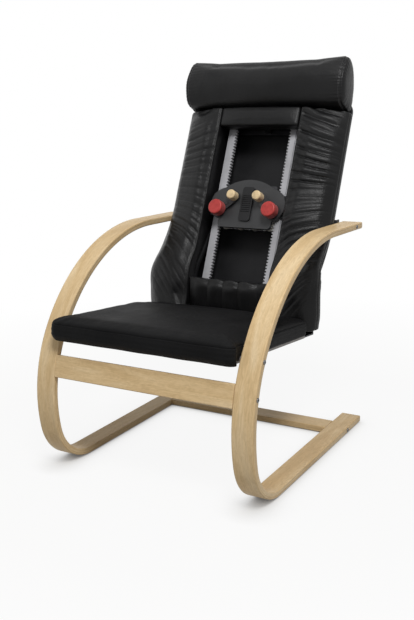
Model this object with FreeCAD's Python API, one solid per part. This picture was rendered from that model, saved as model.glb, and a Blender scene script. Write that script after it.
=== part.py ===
import FreeCAD, Part
import math
import os

# Lounge chair with two bentwood side frames and a kneading unit in the back.
# Millimetres, Z up, the chair faces -Y, +X is the right side seen from the front.

os.makedirs("parts", exist_ok=True)
V = FreeCAD.Vector

# bentwood side frames
frame_width = 660.0
strip_width = 60.0
strip_thickness = 18.0
wood_round = 3.0
runner_end_y = 569.0
foot_radius = 142.4
foot_turn = 78.4
front_radius = 374.7
front_turn = 42.8
arm_radius = 502.2
arm_turn = 60.3

half_width = frame_width / 2
strip_inner_x = half_width - strip_width

# rails and bolts
rail_height = 60.0
front_rail_heading = 106.8
seat_bolt_heading = 121.0
base_rail_y = 461.0
base_rail_width = 62.0
arm_bolt_from_end = 46.0
bolt_radius = 3.0
bolt_head_radius = 6.0
bolt_head_height = 4.0
bolt_head_round = 1.2
bolt_sink = 2.0
thread_clearance = 0.02
nut_radius = 5.0
nut_from_end = 32.0
hole_clearance = 0.1
joint_clearance = 0.2
glide_radius = 9.0
glide_height = 2.0
glide_from_bend = 12.0
glide_from_end = 30.0

# seat, measured from the seat bolt: forward and rearward along the seat
seat_slope = 5.7
seat_front = 53.0
seat_rear = 400.0
seat_edge_top = 50.0
seat_crown = 9.0
seat_lip = -13.0
seat_bow = 4.0
seat_skirt = 6.0
seat_tube_height = 22.0
seat_tube_width = 20.0
seat_tube_wall = 2.0
seat_tube_drop = 11.0
seat_board_thickness = 9.0
board_inset = 4.0
seat_show = 8.0
seat_frame_front = 36.0
boss_radius = 7.0

# back, an edge line of straights and arcs leaning rearward, placed from the seat bolt
back_side_gap = 1.5
back_behind_bolt = 416.9
back_below_bolt = 40.5
back_upright = 93.0
back_half = strip_inner_x - back_side_gap
lumbar_radius = 130.0
lumbar_lean = 45.0
lumbar_straight = 26.0
shoulder_radius = 430.0
back_lean = 24.0
shell_depth = 38.0
shell_thickness = 10.0
shell_half = back_half - 6.5
shell_top_u = 345.0
shell_corner = 40.0
arm_bolt_behind_shell = 4.85
seam_half = 131.0
seam_crown = 36.0
lower_crown = 8.0
panel_rise = 5.0
side_bulge = 4.0
panel_bulge = 7.0
window_half = 238.0
shell_window_half = 268.0
pad_gap = 0.3
roll_bottom_u = 297.0
roll_half = back_half - 0.5
roll_height = 153.0
roll_front = 75.0
roll_low_front = 46.0
roll_high_front = 58.0
roll_rear = -28.0
roll_draw = 8.0

# kneading unit, measured in the back's own frame: x, u up the slope, n to the front
unit_above_upright = 234.0
travel = 150.0
gear_module = 1.5
knead_teeth = 29
travel_teeth = 33
pinion_module = 3.0
pinion_teeth = 11
tooth_height = 0.8
rack_tooth_height = 0.6
root_clearance = 0.3
backlash = 0.35
pressure_angle = 20.0
travel_row_u = -45.0
head_orbit_x = 22.7
head_orbit_u = 20.0
red_radius = 23.0
cream_radius = 14.5
head_front = 47.0
arm_front = 20.0
arm_back = 12.0
shell_front = 10.0
cover_wall = 3.0
knead_gear_back = -0.5
knead_gear_front = 6.0
plate_front = -2.0
plate_thickness = 2.0
rack_front = -8.0
rack_back = -18.0
travel_gear_front = -20.5
travel_gear_back = -26.0
gear_plate_front = -28.0
hump_back = -84.0
hump_wall = 2.5
hump_half = 146.0
hump_flange = 14.0
hump_reach = 48.0
hump_corner = 30.0
hump_round = 16.0
running_gap = 0.05
slide_gap = 0.3
motor_radius = 17.0
motor_length = 50.0
motor_cap_radius = 6.0
motor_cap_height = 4.0
gearbox_round = 6.0
vent_slots = 9
vent_pitch = 6.0
vent_slot_width = 2.4

# steel brackets and electrics behind the back
bracket_steel = 4.0
arm_bracket_half = 16.0
arm_bracket_reach = 70.0
beside_cover = shell_half - hump_half - hump_flange
arm_flange_width = beside_cover * 0.55
seat_strap_width = beside_cover * 0.33
seat_strap_run = 121.0
seat_strap_from_edge = beside_cover * 0.1
control_width = beside_cover * 0.45
control_height = 80.0
control_depth = 26.0
control_from_cover = beside_cover * 0.06
inlet_radius = 6.0
inlet_length = 8.0
switch_size = 18.0


shell_rear_depth = shell_depth + shell_thickness
rail_back = -shell_rear_depth


def box(x0, x1, y0, y1, z0, z1):
    return Part.makeBox(x1 - x0, y1 - y0, z1 - z0, V(x0, y0, z0))


def rod(x, y, z0, z1, radius):
    return Part.makeCylinder(radius, z1 - z0, V(x, y, z0), V(0, 0, 1))


def rod_x(x0, x1, y, z, radius):
    return Part.makeCylinder(radius, x1 - x0, V(x0, y, z), V(1, 0, 0))


def join(shapes):
    whole = shapes[0]
    for shape in shapes[1:]:
        whole = whole.fuse(shape)
    return whole.removeSplitter()


def mirror(shape):
    return shape.mirror(V(0, 0, 0), V(1, 0, 0))


def line(a, b):
    return Part.LineSegment(a, b).toShape()


def arc(a, b, c):
    return Part.Arc(a, b, c).toShape()


def rounded_box(x0, x1, y0, y1, z0, z1, radius):
    block = box(x0, x1, y0, y1, z0, z1)
    upright = [e for e in block.Edges if abs(e.tangentAt(e.FirstParameter).z) > 0.99]
    return block.makeFillet(radius, upright)


# The strip's path, walked from the runner's rear end forward, up and back along the arm.
def strip_direction(heading):
    h = math.radians(heading)
    return -math.cos(h), math.sin(h)


def strip_inward(heading):
    h = math.radians(heading)
    return math.sin(h), math.cos(h)


def arc_centre(start, heading, radius):
    n = strip_inward(heading)
    return start[0] + radius * n[0], start[1] + radius * n[1]


def on_arc(centre, radius, heading):
    n = strip_inward(heading)
    return centre[0] - radius * n[0], centre[1] - radius * n[1]


foot_start = (0.0, 0.0)
foot_centre = arc_centre(foot_start, 0.0, foot_radius)
foot_end = on_arc(foot_centre, foot_radius, foot_turn)
front_centre = arc_centre(foot_end, foot_turn, front_radius)
front_end_heading = foot_turn + front_turn
front_end = on_arc(front_centre, front_radius, front_end_heading)
arm_centre = arc_centre(front_end, front_end_heading, arm_radius)
arm_heading = front_end_heading + arm_turn
arm_start = on_arc(arm_centre, arm_radius, arm_heading)


def strip_side(depth):
    # edges of the path moved inward by depth, with its two end points
    d = strip_direction(arm_heading)
    n = strip_inward(arm_heading)
    rear = (runner_end_y, depth)
    edges = [((runner_end_y, depth), (0.0, depth))]
    spans = [
        (foot_centre, foot_radius, 0.0, foot_turn),
        (front_centre, front_radius, foot_turn, front_end_heading),
        (arm_centre, arm_radius, front_end_heading, arm_heading),
    ]
    for centre, radius, begin, end in spans:
        r = radius - depth
        middle = (begin + end) / 2
        edges.append((on_arc(centre, r, begin), on_arc(centre, r, middle), on_arc(centre, r, end)))
    last = (arm_start[0] + depth * n[0], arm_start[1] + depth * n[1])
    tip = (last[0] + arm_straight * d[0], last[1] + arm_straight * d[1])
    edges.append((last, tip))
    return edges, rear, tip


def yz(point, x):
    return V(x, point[0], point[1])


def flat_edges(edges, x):
    made = []
    for points in edges:
        corners = [yz(p, x) for p in points]
        made.append(line(*corners) if len(corners) == 2 else arc(*corners))
    return made


bolt_depth = strip_thickness / 2


def front_arc_point(heading, depth):
    return on_arc(front_centre, front_radius - depth, heading)


front_bolt = front_arc_point(front_rail_heading, bolt_depth)
seat_bolt = front_arc_point(seat_bolt_heading, bolt_depth)
base_bolt = (base_rail_y, bolt_depth)
# Seat, built level with its bolt line at the origin, then tilted onto the seat bolt.
def seat_place(shape):
    shape.rotate(V(0, 0, 0), V(1, 0, 0), -seat_slope)
    shape.translate(V(0, seat_bolt[0], seat_bolt[1]))
    return shape


seat_half = strip_inner_x - 1.0
tube_half = seat_half - seat_skirt - 0.5
tube_low = -seat_tube_drop
tube_high = tube_low + seat_tube_height
frame_rear = seat_rear - 14.0


def make_seat_frame():
    outer = box(-tube_half, tube_half, -seat_frame_front, frame_rear, tube_low, tube_high)
    w = seat_tube_width
    inside = tube_half - w
    inner = box(-inside, inside, w - seat_frame_front, frame_rear - w, tube_low - 1, tube_high + 1)
    ring = outer.cut(inner)
    t = seat_tube_wall
    wall = tube_half - t
    hollow = box(-wall, wall, t - seat_frame_front, frame_rear - t, tube_low + t, tube_high - t)
    core_half = inside + t
    core_front = w - t - seat_frame_front
    core = box(-core_half, core_half, core_front, frame_rear - w + t, tube_low, tube_high)
    ring = ring.cut(hollow.cut(core))
    bosses = []
    for side in (-1, 1):
        a = side * (tube_half - seat_tube_width)
        b = side * (strip_inner_x - joint_clearance)
        bosses.append(rod_x(min(a, b), max(a, b), 0, 0, boss_radius))
    ring = join([ring] + bosses)
    ring = ring.cut(rod_x(-half_width, half_width, 0, 0, bolt_radius + thread_clearance))
    return seat_place(ring)


def make_seat_board():
    edge = tube_half - board_inset
    front = board_inset - seat_frame_front
    top = tube_high + seat_board_thickness
    return seat_place(box(-edge, edge, front, frame_rear - board_inset, tube_high, top))


def make_seat_cushion():
    # the side outline carried across, the front outline carried back, and what both hold
    low = tube_low + seat_show
    top = seat_edge_top + seat_crown
    nose = -seat_front
    half = seat_half - 0.2
    rear_low = V(-half, seat_rear, low + 4)
    side_edges = [
        arc(V(-half, nose + 13, seat_lip), V(-half, nose, low + 16), V(-half, nose + 17, top - 13)),
        arc(V(-half, nose + 17, top - 13), V(-half, nose + 90, top - 3), V(-half, nose + 210, top)),
        arc(V(-half, nose + 210, top), V(-half, seat_rear - 90, top - 5), V(-half, seat_rear - 30, top - 24)),
        arc(V(-half, seat_rear - 30, top - 24), V(-half, seat_rear - 7, top - 44), rear_low),
        line(rear_low, V(-half, seat_rear, seat_lip)),
        line(V(-half, seat_rear, seat_lip), V(-half, nose + 13, seat_lip)),
    ]
    along = Part.Face(Part.Wire(side_edges)).extrude(V(2 * half, 0, 0))
    start = nose - 5
    drawn = half - seat_bow
    front_edges = [
        line(V(-drawn, start, seat_lip), V(drawn, start, seat_lip)),
        arc(V(drawn, start, seat_lip), V(half, start, low + 22), V(drawn, start, seat_edge_top)),
        arc(V(drawn, start, seat_edge_top), V(0, start, top), V(-drawn, start, seat_edge_top)),
        arc(V(-drawn, start, seat_edge_top), V(-half, start, low + 22), V(-drawn, start, seat_lip)),
    ]
    across = Part.Face(Part.Wire(front_edges)).extrude(V(0, seat_rear - start + 5, 0))
    corner = 26.0
    plan = rounded_box(-half - 1, half + 1, nose - 1, seat_rear + 1, seat_lip - 5, top + 5, corner)
    pad = along.common(across).common(plan)
    gap = 0.4
    recess = box(
        -tube_half - gap, tube_half + gap, -seat_frame_front - gap, frame_rear + gap,
        seat_lip - 5, tube_high + seat_board_thickness + gap,
    )
    pad = pad.cut(recess)
    pad = pad.cut(box(-half - 5, half + 5, 6.0 - seat_frame_front, seat_rear + 5, seat_lip - 5, low))
    pad = pad.cut(rod_x(-half_width, half_width, 0, 0, boss_radius + gap))
    return seat_place(pad)


# Back edge line: upright, bent rearward at the lumbar, bent forward again, then straight.
def lean_front(lean):
    a = math.radians(lean)
    return -math.cos(a), math.sin(a)


back_front_y = seat_bolt[0] + back_behind_bolt
back_bottom_z = seat_bolt[1] - back_below_bolt
back_upright_top = back_bottom_z + back_upright
unit_z = back_upright_top + unit_above_upright
lumbar_centre = (back_front_y + lumbar_radius, back_upright_top)


def on_lumbar(lean, depth):
    f = lean_front(lean)
    r = lumbar_radius - depth
    return lumbar_centre[0] + r * f[0], lumbar_centre[1] + r * f[1]


lumbar_end = on_lumbar(lumbar_lean, 0.0)
lumbar_sine = math.sin(math.radians(lumbar_lean))
lumbar_cosine = math.cos(math.radians(lumbar_lean))
shoulder_start = (
    lumbar_end[0] + lumbar_straight * lumbar_sine,
    lumbar_end[1] + lumbar_straight * lumbar_cosine,
)
lumbar_front = lean_front(lumbar_lean)
shoulder_centre = (
    shoulder_start[0] + shoulder_radius * lumbar_front[0],
    shoulder_start[1] + shoulder_radius * lumbar_front[1],
)


def on_shoulder(lean, depth):
    f = lean_front(lean)
    r = shoulder_radius + depth
    return shoulder_centre[0] - r * f[0], shoulder_centre[1] - r * f[1]


shoulder_end = on_shoulder(back_lean, 0.0)
lean_sine = math.sin(math.radians(back_lean))
lean_cosine = math.cos(math.radians(back_lean))
lean_tangent = lean_sine / lean_cosine


def straight_y(z):
    return shoulder_end[0] + (z - shoulder_end[1]) * lean_tangent


unit_y = straight_y(unit_z)


def edge_y(z):
    if z <= back_upright_top:
        return back_front_y
    if z <= lumbar_end[1]:
        a = math.asin((z - back_upright_top) / lumbar_radius)
        return back_front_y + lumbar_radius * (1 - math.cos(a))
    if z <= shoulder_start[1]:
        return lumbar_end[0] + (z - lumbar_end[1]) * lumbar_sine / lumbar_cosine
    if z <= shoulder_end[1]:
        a = math.asin((shoulder_centre[1] - z) / shoulder_radius)
        return shoulder_centre[0] + shoulder_radius * math.cos(a)
    return straight_y(z)


def seam_y(z):
    low_front = edge_y(z) - lower_crown
    if z <= lumbar_end[1]:
        return low_front
    return min(straight_y(z) - seam_crown / lean_cosine, low_front)


def back_place(shape):
    # from the unit's frame (x, u, n) into the chair
    shape.rotate(V(0, 0, 0), V(1, 0, 0), 90.0 - back_lean)
    shape.translate(V(0, unit_y, unit_z))
    return shape


def straight_point(u, n):
    return unit_y + u * lean_sine - n * lean_cosine, unit_z + u * lean_cosine + n * lean_sine


def back_line(depth, top_u):
    # the edge line moved rearward by depth, from the bottom up
    middle_lumbar = lumbar_lean / 2
    middle_shoulder = (lumbar_lean + back_lean) / 2
    low = (back_front_y + depth, back_bottom_z)
    a = (back_front_y + depth, back_upright_top)
    b = on_lumbar(lumbar_lean, depth)
    c = on_shoulder(lumbar_lean, depth)
    d = on_shoulder(back_lean, depth)
    top = straight_point(top_u, -depth)
    edges = [
        (low, a),
        (a, on_lumbar(middle_lumbar, depth), b),
        (b, c),
        (c, on_shoulder(middle_shoulder, depth), d),
        (d, top),
    ]
    return edges, low, top


def back_slab(half, front_depth, rear_depth, top_u, drop):
    # a bent slab between two depths behind the edge line
    front, front_low, front_top = back_line(front_depth, top_u)
    rear, rear_low, rear_top = back_line(rear_depth, top_u)
    edges = flat_edges(front, -half)
    edges.append(line(yz(front_top, -half), yz(rear_top, -half)))
    edges += flat_edges(rear, -half)
    if drop > 0:
        front_foot = (front_low[0], front_low[1] - drop)
        rear_foot = (rear_low[0], rear_low[1] - drop)
        edges.append(line(yz(front_low, -half), yz(front_foot, -half)))
        edges.append(line(yz(front_foot, -half), yz(rear_foot, -half)))
        edges.append(line(yz(rear_foot, -half), yz(rear_low, -half)))
    else:
        edges.append(line(yz(rear_low, -half), yz(front_low, -half)))
    face = Part.Face(Part.Wire(Part.__sortEdges__(edges)))
    return face.extrude(V(2 * half, 0, 0))


arm_way = strip_direction(arm_heading)
arm_inward = strip_inward(arm_heading)
arm_line = (arm_start[0] + bolt_depth * arm_inward[0], arm_start[1] + bolt_depth * arm_inward[1])


def lean_height(point):
    # how far a point lies in front of the back's straight part
    return (unit_y - point[0]) * lean_cosine + (point[1] - unit_z) * lean_sine


# The arm runs back until its bolt stands just behind the shell.
arm_rate = arm_way[1] * lean_sine - arm_way[0] * lean_cosine
arm_run = (-shell_rear_depth - arm_bolt_behind_shell - lean_height(arm_line)) / arm_rate
arm_bolt = (arm_line[0] + arm_run * arm_way[0], arm_line[1] + arm_run * arm_way[1])
arm_straight = arm_run + arm_bolt_from_end
frame_points = [front_bolt, seat_bolt, base_bolt, arm_bolt]


def make_side_frame():
    outer, outer_rear, outer_tip = strip_side(0.0)
    inner, inner_rear, inner_tip = strip_side(strip_thickness)
    x = strip_inner_x
    edges = flat_edges(outer, x)
    edges.append(line(yz(outer_tip, x), yz(inner_tip, x)))
    edges += flat_edges(inner, x)
    edges.append(line(yz(inner_rear, x), yz(outer_rear, x)))
    face = Part.Face(Part.Wire(Part.__sortEdges__(edges)))
    solid = face.extrude(V(strip_width, 0, 0))
    long_edges = [e for e in solid.Edges if e.BoundBox.XLength < 0.01]
    solid = solid.makeFillet(wood_round, long_edges)
    for y, z in frame_points:
        solid = solid.cut(rod_x(x - 1, half_width + 1, y, z, bolt_radius + hole_clearance))
        sink_start = half_width - bolt_sink
        solid = solid.cut(rod_x(sink_start, half_width + 1, y, z, bolt_head_radius + hole_clearance))
    return solid


def make_bolt(point, inner_end):
    y, z = point
    head_start = half_width - bolt_sink
    shank = rod_x(inner_end, head_start, y, z, bolt_radius)
    head_end = head_start + bolt_head_height
    head = rod_x(head_start, head_end, y, z, bolt_head_radius)
    rim = [e for e in head.Edges if abs(e.BoundBox.XMin - head_end) < 0.01]
    head = head.makeFillet(bolt_head_round, rim)
    socket = rod_x(head_start + bolt_head_height / 2, head_end + 1, y, z, bolt_radius * 0.8)
    return join([shank, head]).cut(socket)


def tilted_board(point, heading, width, thickness):
    # a board across the chair, its width along the strip at this heading
    half = strip_inner_x
    board = box(-half, half, -width / 2, width / 2, -thickness / 2, thickness / 2)
    board = board.makeFillet(wood_round, [e for e in board.Edges if e.BoundBox.XLength > half])
    board.rotate(V(0, 0, 0), V(1, 0, 0), 180.0 - heading)
    board.translate(V(0, point[0], point[1]))
    return board


def make_rail(point, heading, width):
    board = tilted_board(point, heading, width, strip_thickness)
    for side in (-1, 1):
        end = side * strip_inner_x
        far = side * (strip_inner_x - nut_from_end - nut_radius - 6.0)
        low, high = min(end, far), max(end, far)
        board = board.cut(rod_x(low, high, point[0], point[1], bolt_radius + hole_clearance))
        board = board.cut(make_nut(point, heading, side, hole_clearance, strip_thickness))
    return board


def make_nut(point, heading, side, extra, length):
    x = side * (strip_inner_x - nut_from_end)
    n = strip_inward(heading)
    start = V(x, point[0] - n[0] * length / 2, point[1] - n[1] * length / 2)
    return Part.makeCylinder(nut_radius + extra, length, start, V(0, n[0], n[1]))


def make_drilled_nut(point, heading, side):
    nut = make_nut(point, heading, side, 0.0, strip_thickness - 2.0)
    thread = rod_x(-half_width, half_width, point[0], point[1], bolt_radius + thread_clearance)
    return nut.cut(thread)


def make_back_shell():
    slab = back_slab(shell_half, shell_depth, shell_rear_depth, shell_top_u, 0.0)
    plan = rounded_box(-shell_half, shell_half, -900, shell_top_u, -400, 400, shell_corner)
    hole = rounded_box(-seam_half, seam_half, -shell_window_half, shell_window_half, -150, 150, 20.0)
    return slab.common(back_place(plan)).cut(back_place(hole))


def behind_shell_front(gap):
    # everything behind the shell's front face, for trimming the pads
    return back_slab(half_width, shell_depth - gap, lumbar_radius - 2.0, 520.0, 60.0)


def bolster_section(z):
    inner_y = seam_y(z)
    outer_y = edge_y(z)
    rear_y = outer_y + shell_depth + 24.0
    x0 = seam_half
    x1 = back_half - side_bulge
    a = V(x0, rear_y, z)
    b = V(x1, rear_y, z)
    c = V(x1, outer_y, z)
    d = V(x0, inner_y, z)
    bowed = V((x0 + x1) / 2, (inner_y + outer_y) / 2 - panel_bulge, z)
    edges = [
        line(a, b),
        arc(b, V(x1 + side_bulge, (rear_y + outer_y) / 2, z), c),
        arc(c, bowed, d),
        line(d, a),
    ]
    return Part.Wire(edges)


bolster_steps = [0.0, 20.0, 38.0, 55.0, 72.0, 90.0, 115.0, 140.0, 170.0, 200.0, 235.0, 560.0]
bolster_levels = [back_bottom_z] + [back_upright_top + step for step in bolster_steps]


def make_bolster():
    pad = Part.makeLoft([bolster_section(z) for z in bolster_levels], True, True)
    pad = pad.cut(behind_shell_front(pad_gap))
    above = back_place(box(-500, 500, roll_bottom_u - pad_gap, 900, -300, 300))
    return pad.cut(above)


def make_centre_panel_top():
    x = seam_half - pad_gap
    low = window_half
    high = roll_bottom_u - pad_gap
    rear = -shell_depth + pad_gap
    front = seam_crown
    edges = [
        line(V(-x, low, rear), V(x, low, rear)),
        line(V(x, low, rear), V(x, low, front)),
        arc(V(x, low, front), V(0, low, front + panel_rise), V(-x, low, front)),
        line(V(-x, low, front), V(-x, low, rear)),
    ]
    pad = Part.Face(Part.Wire(edges)).extrude(V(0, high - low, 0))
    pad = pad.cut(box(-x + 3, x - 3, low - 1, rail_reach + 10, rear - 1, rack_front + 1.5))
    return back_place(pad)


def make_centre_panel_bottom():
    x = seam_half - pad_gap
    slab = back_slab(x, -lower_crown, shell_depth - pad_gap, shell_top_u, 0.0)
    front = back_front_y - lower_crown
    rear = front + 400.0
    edges = [
        arc(V(x, front + panel_rise, 0), V(0, front, 0), V(-x, front + panel_rise, 0)),
        line(V(-x, front + panel_rise, 0), V(-x, rear, 0)),
        line(V(-x, rear, 0), V(x, rear, 0)),
        line(V(x, rear, 0), V(x, front + panel_rise, 0)),
    ]
    plan = Part.Face(Part.Wire(edges)).extrude(V(0, 0, 900))
    above = back_place(box(-500, 500, -window_half, 900, -300, 300))
    return slab.common(plan).cut(above)


def make_headrest_roll():
    # the roll's section carried across, its ends drawn in both in front and plan view
    rear = -shell_depth - 5.0
    low = roll_bottom_u
    top = low + roll_height
    middle = low + roll_height / 2
    corners = [(low + 4, rear), (low + 13, roll_low_front), (top - 13, roll_high_front), (top - 19, 4.0)]
    bows = [(low, 6.0), (middle - 3, roll_front), (top, roll_high_front - 24), (middle + 8, roll_rear)]
    ends = [V(-roll_half, u, n) for u, n in corners]
    mids = [V(-roll_half, u, n) for u, n in bows]
    edges = [arc(ends[i], mids[i], ends[(i + 1) % 4]) for i in range(4)]
    roll = Part.Face(Part.Wire(edges)).extrude(V(2 * roll_half, 0, 0))
    x = roll_half
    high = top + 6
    near = x - roll_draw
    far = x - 2 * roll_draw
    back = rear - 17
    front = roll_front + 15
    front_edges = [
        line(V(-near, low, back), V(near, low, back)),
        arc(V(near, low, back), V(x, middle - 13, back), V(far, high, back)),
        line(V(far, high, back), V(-far, high, back)),
        arc(V(-far, high, back), V(-x, middle - 13, back), V(-near, low, back)),
    ]
    in_front = Part.Face(Part.Wire(front_edges)).extrude(V(0, 0, front - back))
    plan_edges = [
        line(V(-near, low, back), V(near, low, back)),
        arc(V(near, low, back), V(x, low, 0), V(far - 6, low, front)),
        line(V(far - 6, low, front), V(6 - far, low, front)),
        arc(V(6 - far, low, front), V(-x, low, 0), V(-near, low, back)),
    ]
    in_plan = Part.Face(Part.Wire(plan_edges)).extrude(V(0, high - low, 0))
    roll = roll.common(in_front).common(in_plan)
    roll = back_place(roll)
    return roll.cut(behind_shell_front(pad_gap))


# Gears: involute flanks drawn as three-point arcs, thinned by the backlash.
def involute(angle):
    return math.tan(angle) - angle


def polar(radius, angle):
    return V(radius * math.cos(angle), radius * math.sin(angle), 0)


def gear_face(module, teeth, turn):
    pitch = module * teeth / 2
    base = pitch * math.cos(math.radians(pressure_angle))
    tip = pitch + tooth_height * module
    root = pitch - (tooth_height + root_clearance) * module
    start = max(base, root + 0.05)
    half_pitch_angle = math.pi / (2 * teeth) - backlash / (2 * pitch)
    zero = involute(math.radians(pressure_angle))

    def half_angle(radius):
        if radius <= base:
            return half_pitch_angle + zero
        return half_pitch_angle + zero - involute(math.acos(base / radius))

    middle = (start + tip) / 2
    edges = []
    step = 2 * math.pi / teeth
    for i in range(teeth):
        c = turn + i * step
        low, mid, high = half_angle(start), half_angle(middle), half_angle(tip)
        edges.append(line(polar(root, c - low), polar(start, c - low)))
        edges.append(arc(polar(start, c - low), polar(middle, c - mid), polar(tip, c - high)))
        edges.append(arc(polar(tip, c - high), polar(tip, c), polar(tip, c + high)))
        edges.append(arc(polar(tip, c + high), polar(middle, c + mid), polar(start, c + low)))
        edges.append(line(polar(start, c + low), polar(root, c + low)))
        gap_end = c + step - low
        edges.append(arc(polar(root, c + low), polar(root, c + step / 2), polar(root, gap_end)))
    return Part.Face(Part.Wire(edges))


def gear(module, teeth, turn, x, u, back, front):
    solid = gear_face(module, teeth, turn).extrude(V(0, 0, front - back))
    solid.translate(V(x, u, back))
    return solid


knead_pitch = gear_module * knead_teeth / 2
kneader_x = 3 * knead_pitch
travel_pitch = gear_module * travel_teeth / 2
pinion_x = 3 * travel_pitch
pinion_pitch = pinion_module * pinion_teeth / 2
rack_pitch_x = pinion_x + pinion_pitch
rack_tip_x = rack_pitch_x - rack_tooth_height * pinion_module
rack_root_x = rack_pitch_x + (tooth_height + root_clearance) * pinion_module
rack_outer_x = rack_root_x + 16.0
rack_lip_x = rack_outer_x + 8.0
shaft_radius = 4.0
kneader_shaft_radius = 7.0


def make_rack(tooth_at_row):
    # right rack with inward teeth; the left one is its mirror image with the phase moved
    pitch = math.pi * pinion_module
    slope = math.tan(math.radians(pressure_angle))
    half_tooth = pitch / 4 - backlash / 2
    inward = rack_tooth_height * pinion_module
    outward = rack_root_x - rack_pitch_x
    reach = window_half + 14.0
    count = int(reach / pitch)
    points = [V(rack_outer_x, -reach, 0), V(rack_root_x, -reach, 0)]
    shift = 0.0 if tooth_at_row else pitch / 2
    for i in range(-count - 6, count + 6):
        u = travel_row_u + shift + i * pitch
        wide = half_tooth + outward * slope
        narrow = half_tooth - inward * slope
        if u - wide < -reach + 1 or u + wide > reach - 1:
            continue
        points.append(V(rack_root_x, u - wide, 0))
        points.append(V(rack_tip_x, u - narrow, 0))
        points.append(V(rack_tip_x, u + narrow, 0))
        points.append(V(rack_root_x, u + wide, 0))
    points.append(V(rack_root_x, reach, 0))
    points.append(V(rack_outer_x, reach, 0))
    points.append(points[0])
    body = Part.Face(Part.makePolygon(points)).extrude(V(0, 0, rack_front - rack_back))
    body.translate(V(0, 0, rack_back))
    lip = box(rack_outer_x - 1, rack_lip_x, -reach, reach, rack_back + 3.0, rack_front - 3.0)
    return join([body, lip])


rail_outer_x = rack_outer_x - 0.5
rail_inner_x = pinion_x + travel_pitch + tooth_height * gear_module + 1.5
rail_reach = window_half + 24.0


def make_guide_rail():
    wall = 1.5
    top = rack_back
    body = box(rail_inner_x, rail_outer_x, -rail_reach, rail_reach, rail_back, top)
    hollow = box(
        rail_inner_x + wall, rail_outer_x + 1, -rail_reach - 1, rail_reach + 1, rail_back + wall, top - wall
    )
    return back_place(body.cut(hollow))


def make_cross_plate(side):
    half = seam_half + 18.0
    near = rail_reach - 22.0
    far = rail_reach + 6.0
    low, high = (near, far) if side > 0 else (-far, -near)
    plate = box(-half, half, low, high, rail_back - 3.0, rail_back)
    ears = []
    for end in (-1, 1):
        a = end * (seam_half + 2.0)
        b = end * half
        ears.append(box(min(a, b), max(a, b), low, high, rail_back - 3.0, 40.0))
    plate = back_place(join([plate] + ears))
    front_of_rear = back_slab(half_width, -60.0, shell_rear_depth, 520.0, 60.0)
    return plate.cut(front_of_rear)


def make_rear_cover():
    x = hump_half + hump_flange
    reach = window_half + hump_reach
    front = 60.0
    outer = rounded_box(-x, x, -reach, reach, hump_back, front, hump_corner)
    rear_edges = [e for e in outer.Edges if abs(e.BoundBox.ZMax - hump_back) < 0.01]
    outer = outer.makeFillet(hump_round, rear_edges)
    w = hump_wall
    inner = rounded_box(w - x, x - w, w - reach, reach - w, hump_back + w, front + 1, hump_corner - w)
    inner_edges = [e for e in inner.Edges if abs(e.BoundBox.ZMax - hump_back - w) < 0.01]
    inner = inner.makeFillet(hump_round - w, inner_edges)
    cover = back_place(outer.cut(inner))
    in_front = back_slab(half_width, -front, shell_rear_depth + 0.1, roll_bottom_u + roll_height, front)
    return cover.cut(in_front)


# Carriage
carriage_low = travel_row_u - 27.5
carriage_high = 76.0
lobe_x = kneader_x + 9.0
lobe_radius = 50.0
plate_top = 62.0
plate_ear = 34.0
column_half = 18.5
row_half = rack_tip_x - 4.0


def carriage_outline(grow, back, front):
    # two round lobes joined by an arched middle
    lobes = []
    for side in (-1, 1):
        lobes.append(rod(side * lobe_x, 0, back, front, lobe_radius + grow))
    w = lobe_x + 14.0 + grow
    top = carriage_high + grow
    low = carriage_low - grow
    shoulder = 44.0
    points = [V(-w, low, back), V(w, low, back), V(w, shoulder, back), V(-w, shoulder, back)]
    edges = [
        line(points[0], points[1]),
        line(points[1], points[2]),
        arc(points[2], V(0, top, back), points[3]),
        line(points[3], points[0]),
    ]
    middle = Part.Face(Part.Wire(edges)).extrude(V(0, 0, front - back))
    upright = [e for e in middle.Edges if abs(e.tangentAt(e.FirstParameter).z) > 0.99]
    middle = middle.makeFillet(12.0, upright)
    return join([middle] + lobes)


def make_front_shell():
    back = plate_front
    outer = carriage_outline(0.0, back, shell_front)
    inner = carriage_outline(-cover_wall, back - 1, shell_front - cover_wall)
    cover = outer.cut(inner)
    posts = []
    for side in (-1, 1):
        cover = cover.cut(rod(side * kneader_x, 0, back, shell_front + 1, kneader_shaft_radius + running_gap))
        for u in (-58.0, 58.0):
            posts.append(rod(side * 40.0, u, back, shell_front - 1, 4.0))
    return join([cover] + posts)


def make_vent_column():
    low = -52.0
    high = 52.0
    front = shell_front + 6.0
    block = rounded_box(-column_half, column_half, low, high, shell_front, front, 8.0)
    for i in range(vent_slots):
        u = (i - (vent_slots - 1) / 2) * vent_pitch
        w = vent_slot_width / 2
        block = block.cut(box(-column_half + 4, column_half - 4, u - w, u + w, front - 2.5, front + 1))
    return block


def make_carriage_plate():
    front = plate_front
    back = plate_front - plate_thickness
    plate = rounded_box(-row_half, row_half, carriage_low + 4, plate_top, back, front, 8.0)
    ears = box(-rack_lip_x - 7, rack_lip_x + 7, -plate_ear, plate_ear, back, front)
    plate = join([plate, ears])
    for x in (-kneader_x, -knead_pitch, knead_pitch, kneader_x):
        plate = plate.cut(rod(x, 0, back - 1, front + 1, shaft_radius + running_gap))
    for x in (-pinion_x, -travel_pitch, travel_pitch, pinion_x):
        plate = plate.cut(rod(x, travel_row_u, back - 1, front + 1, shaft_radius + running_gap))
    return plate


gear_plate_back = gear_plate_front - 2.0


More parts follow.
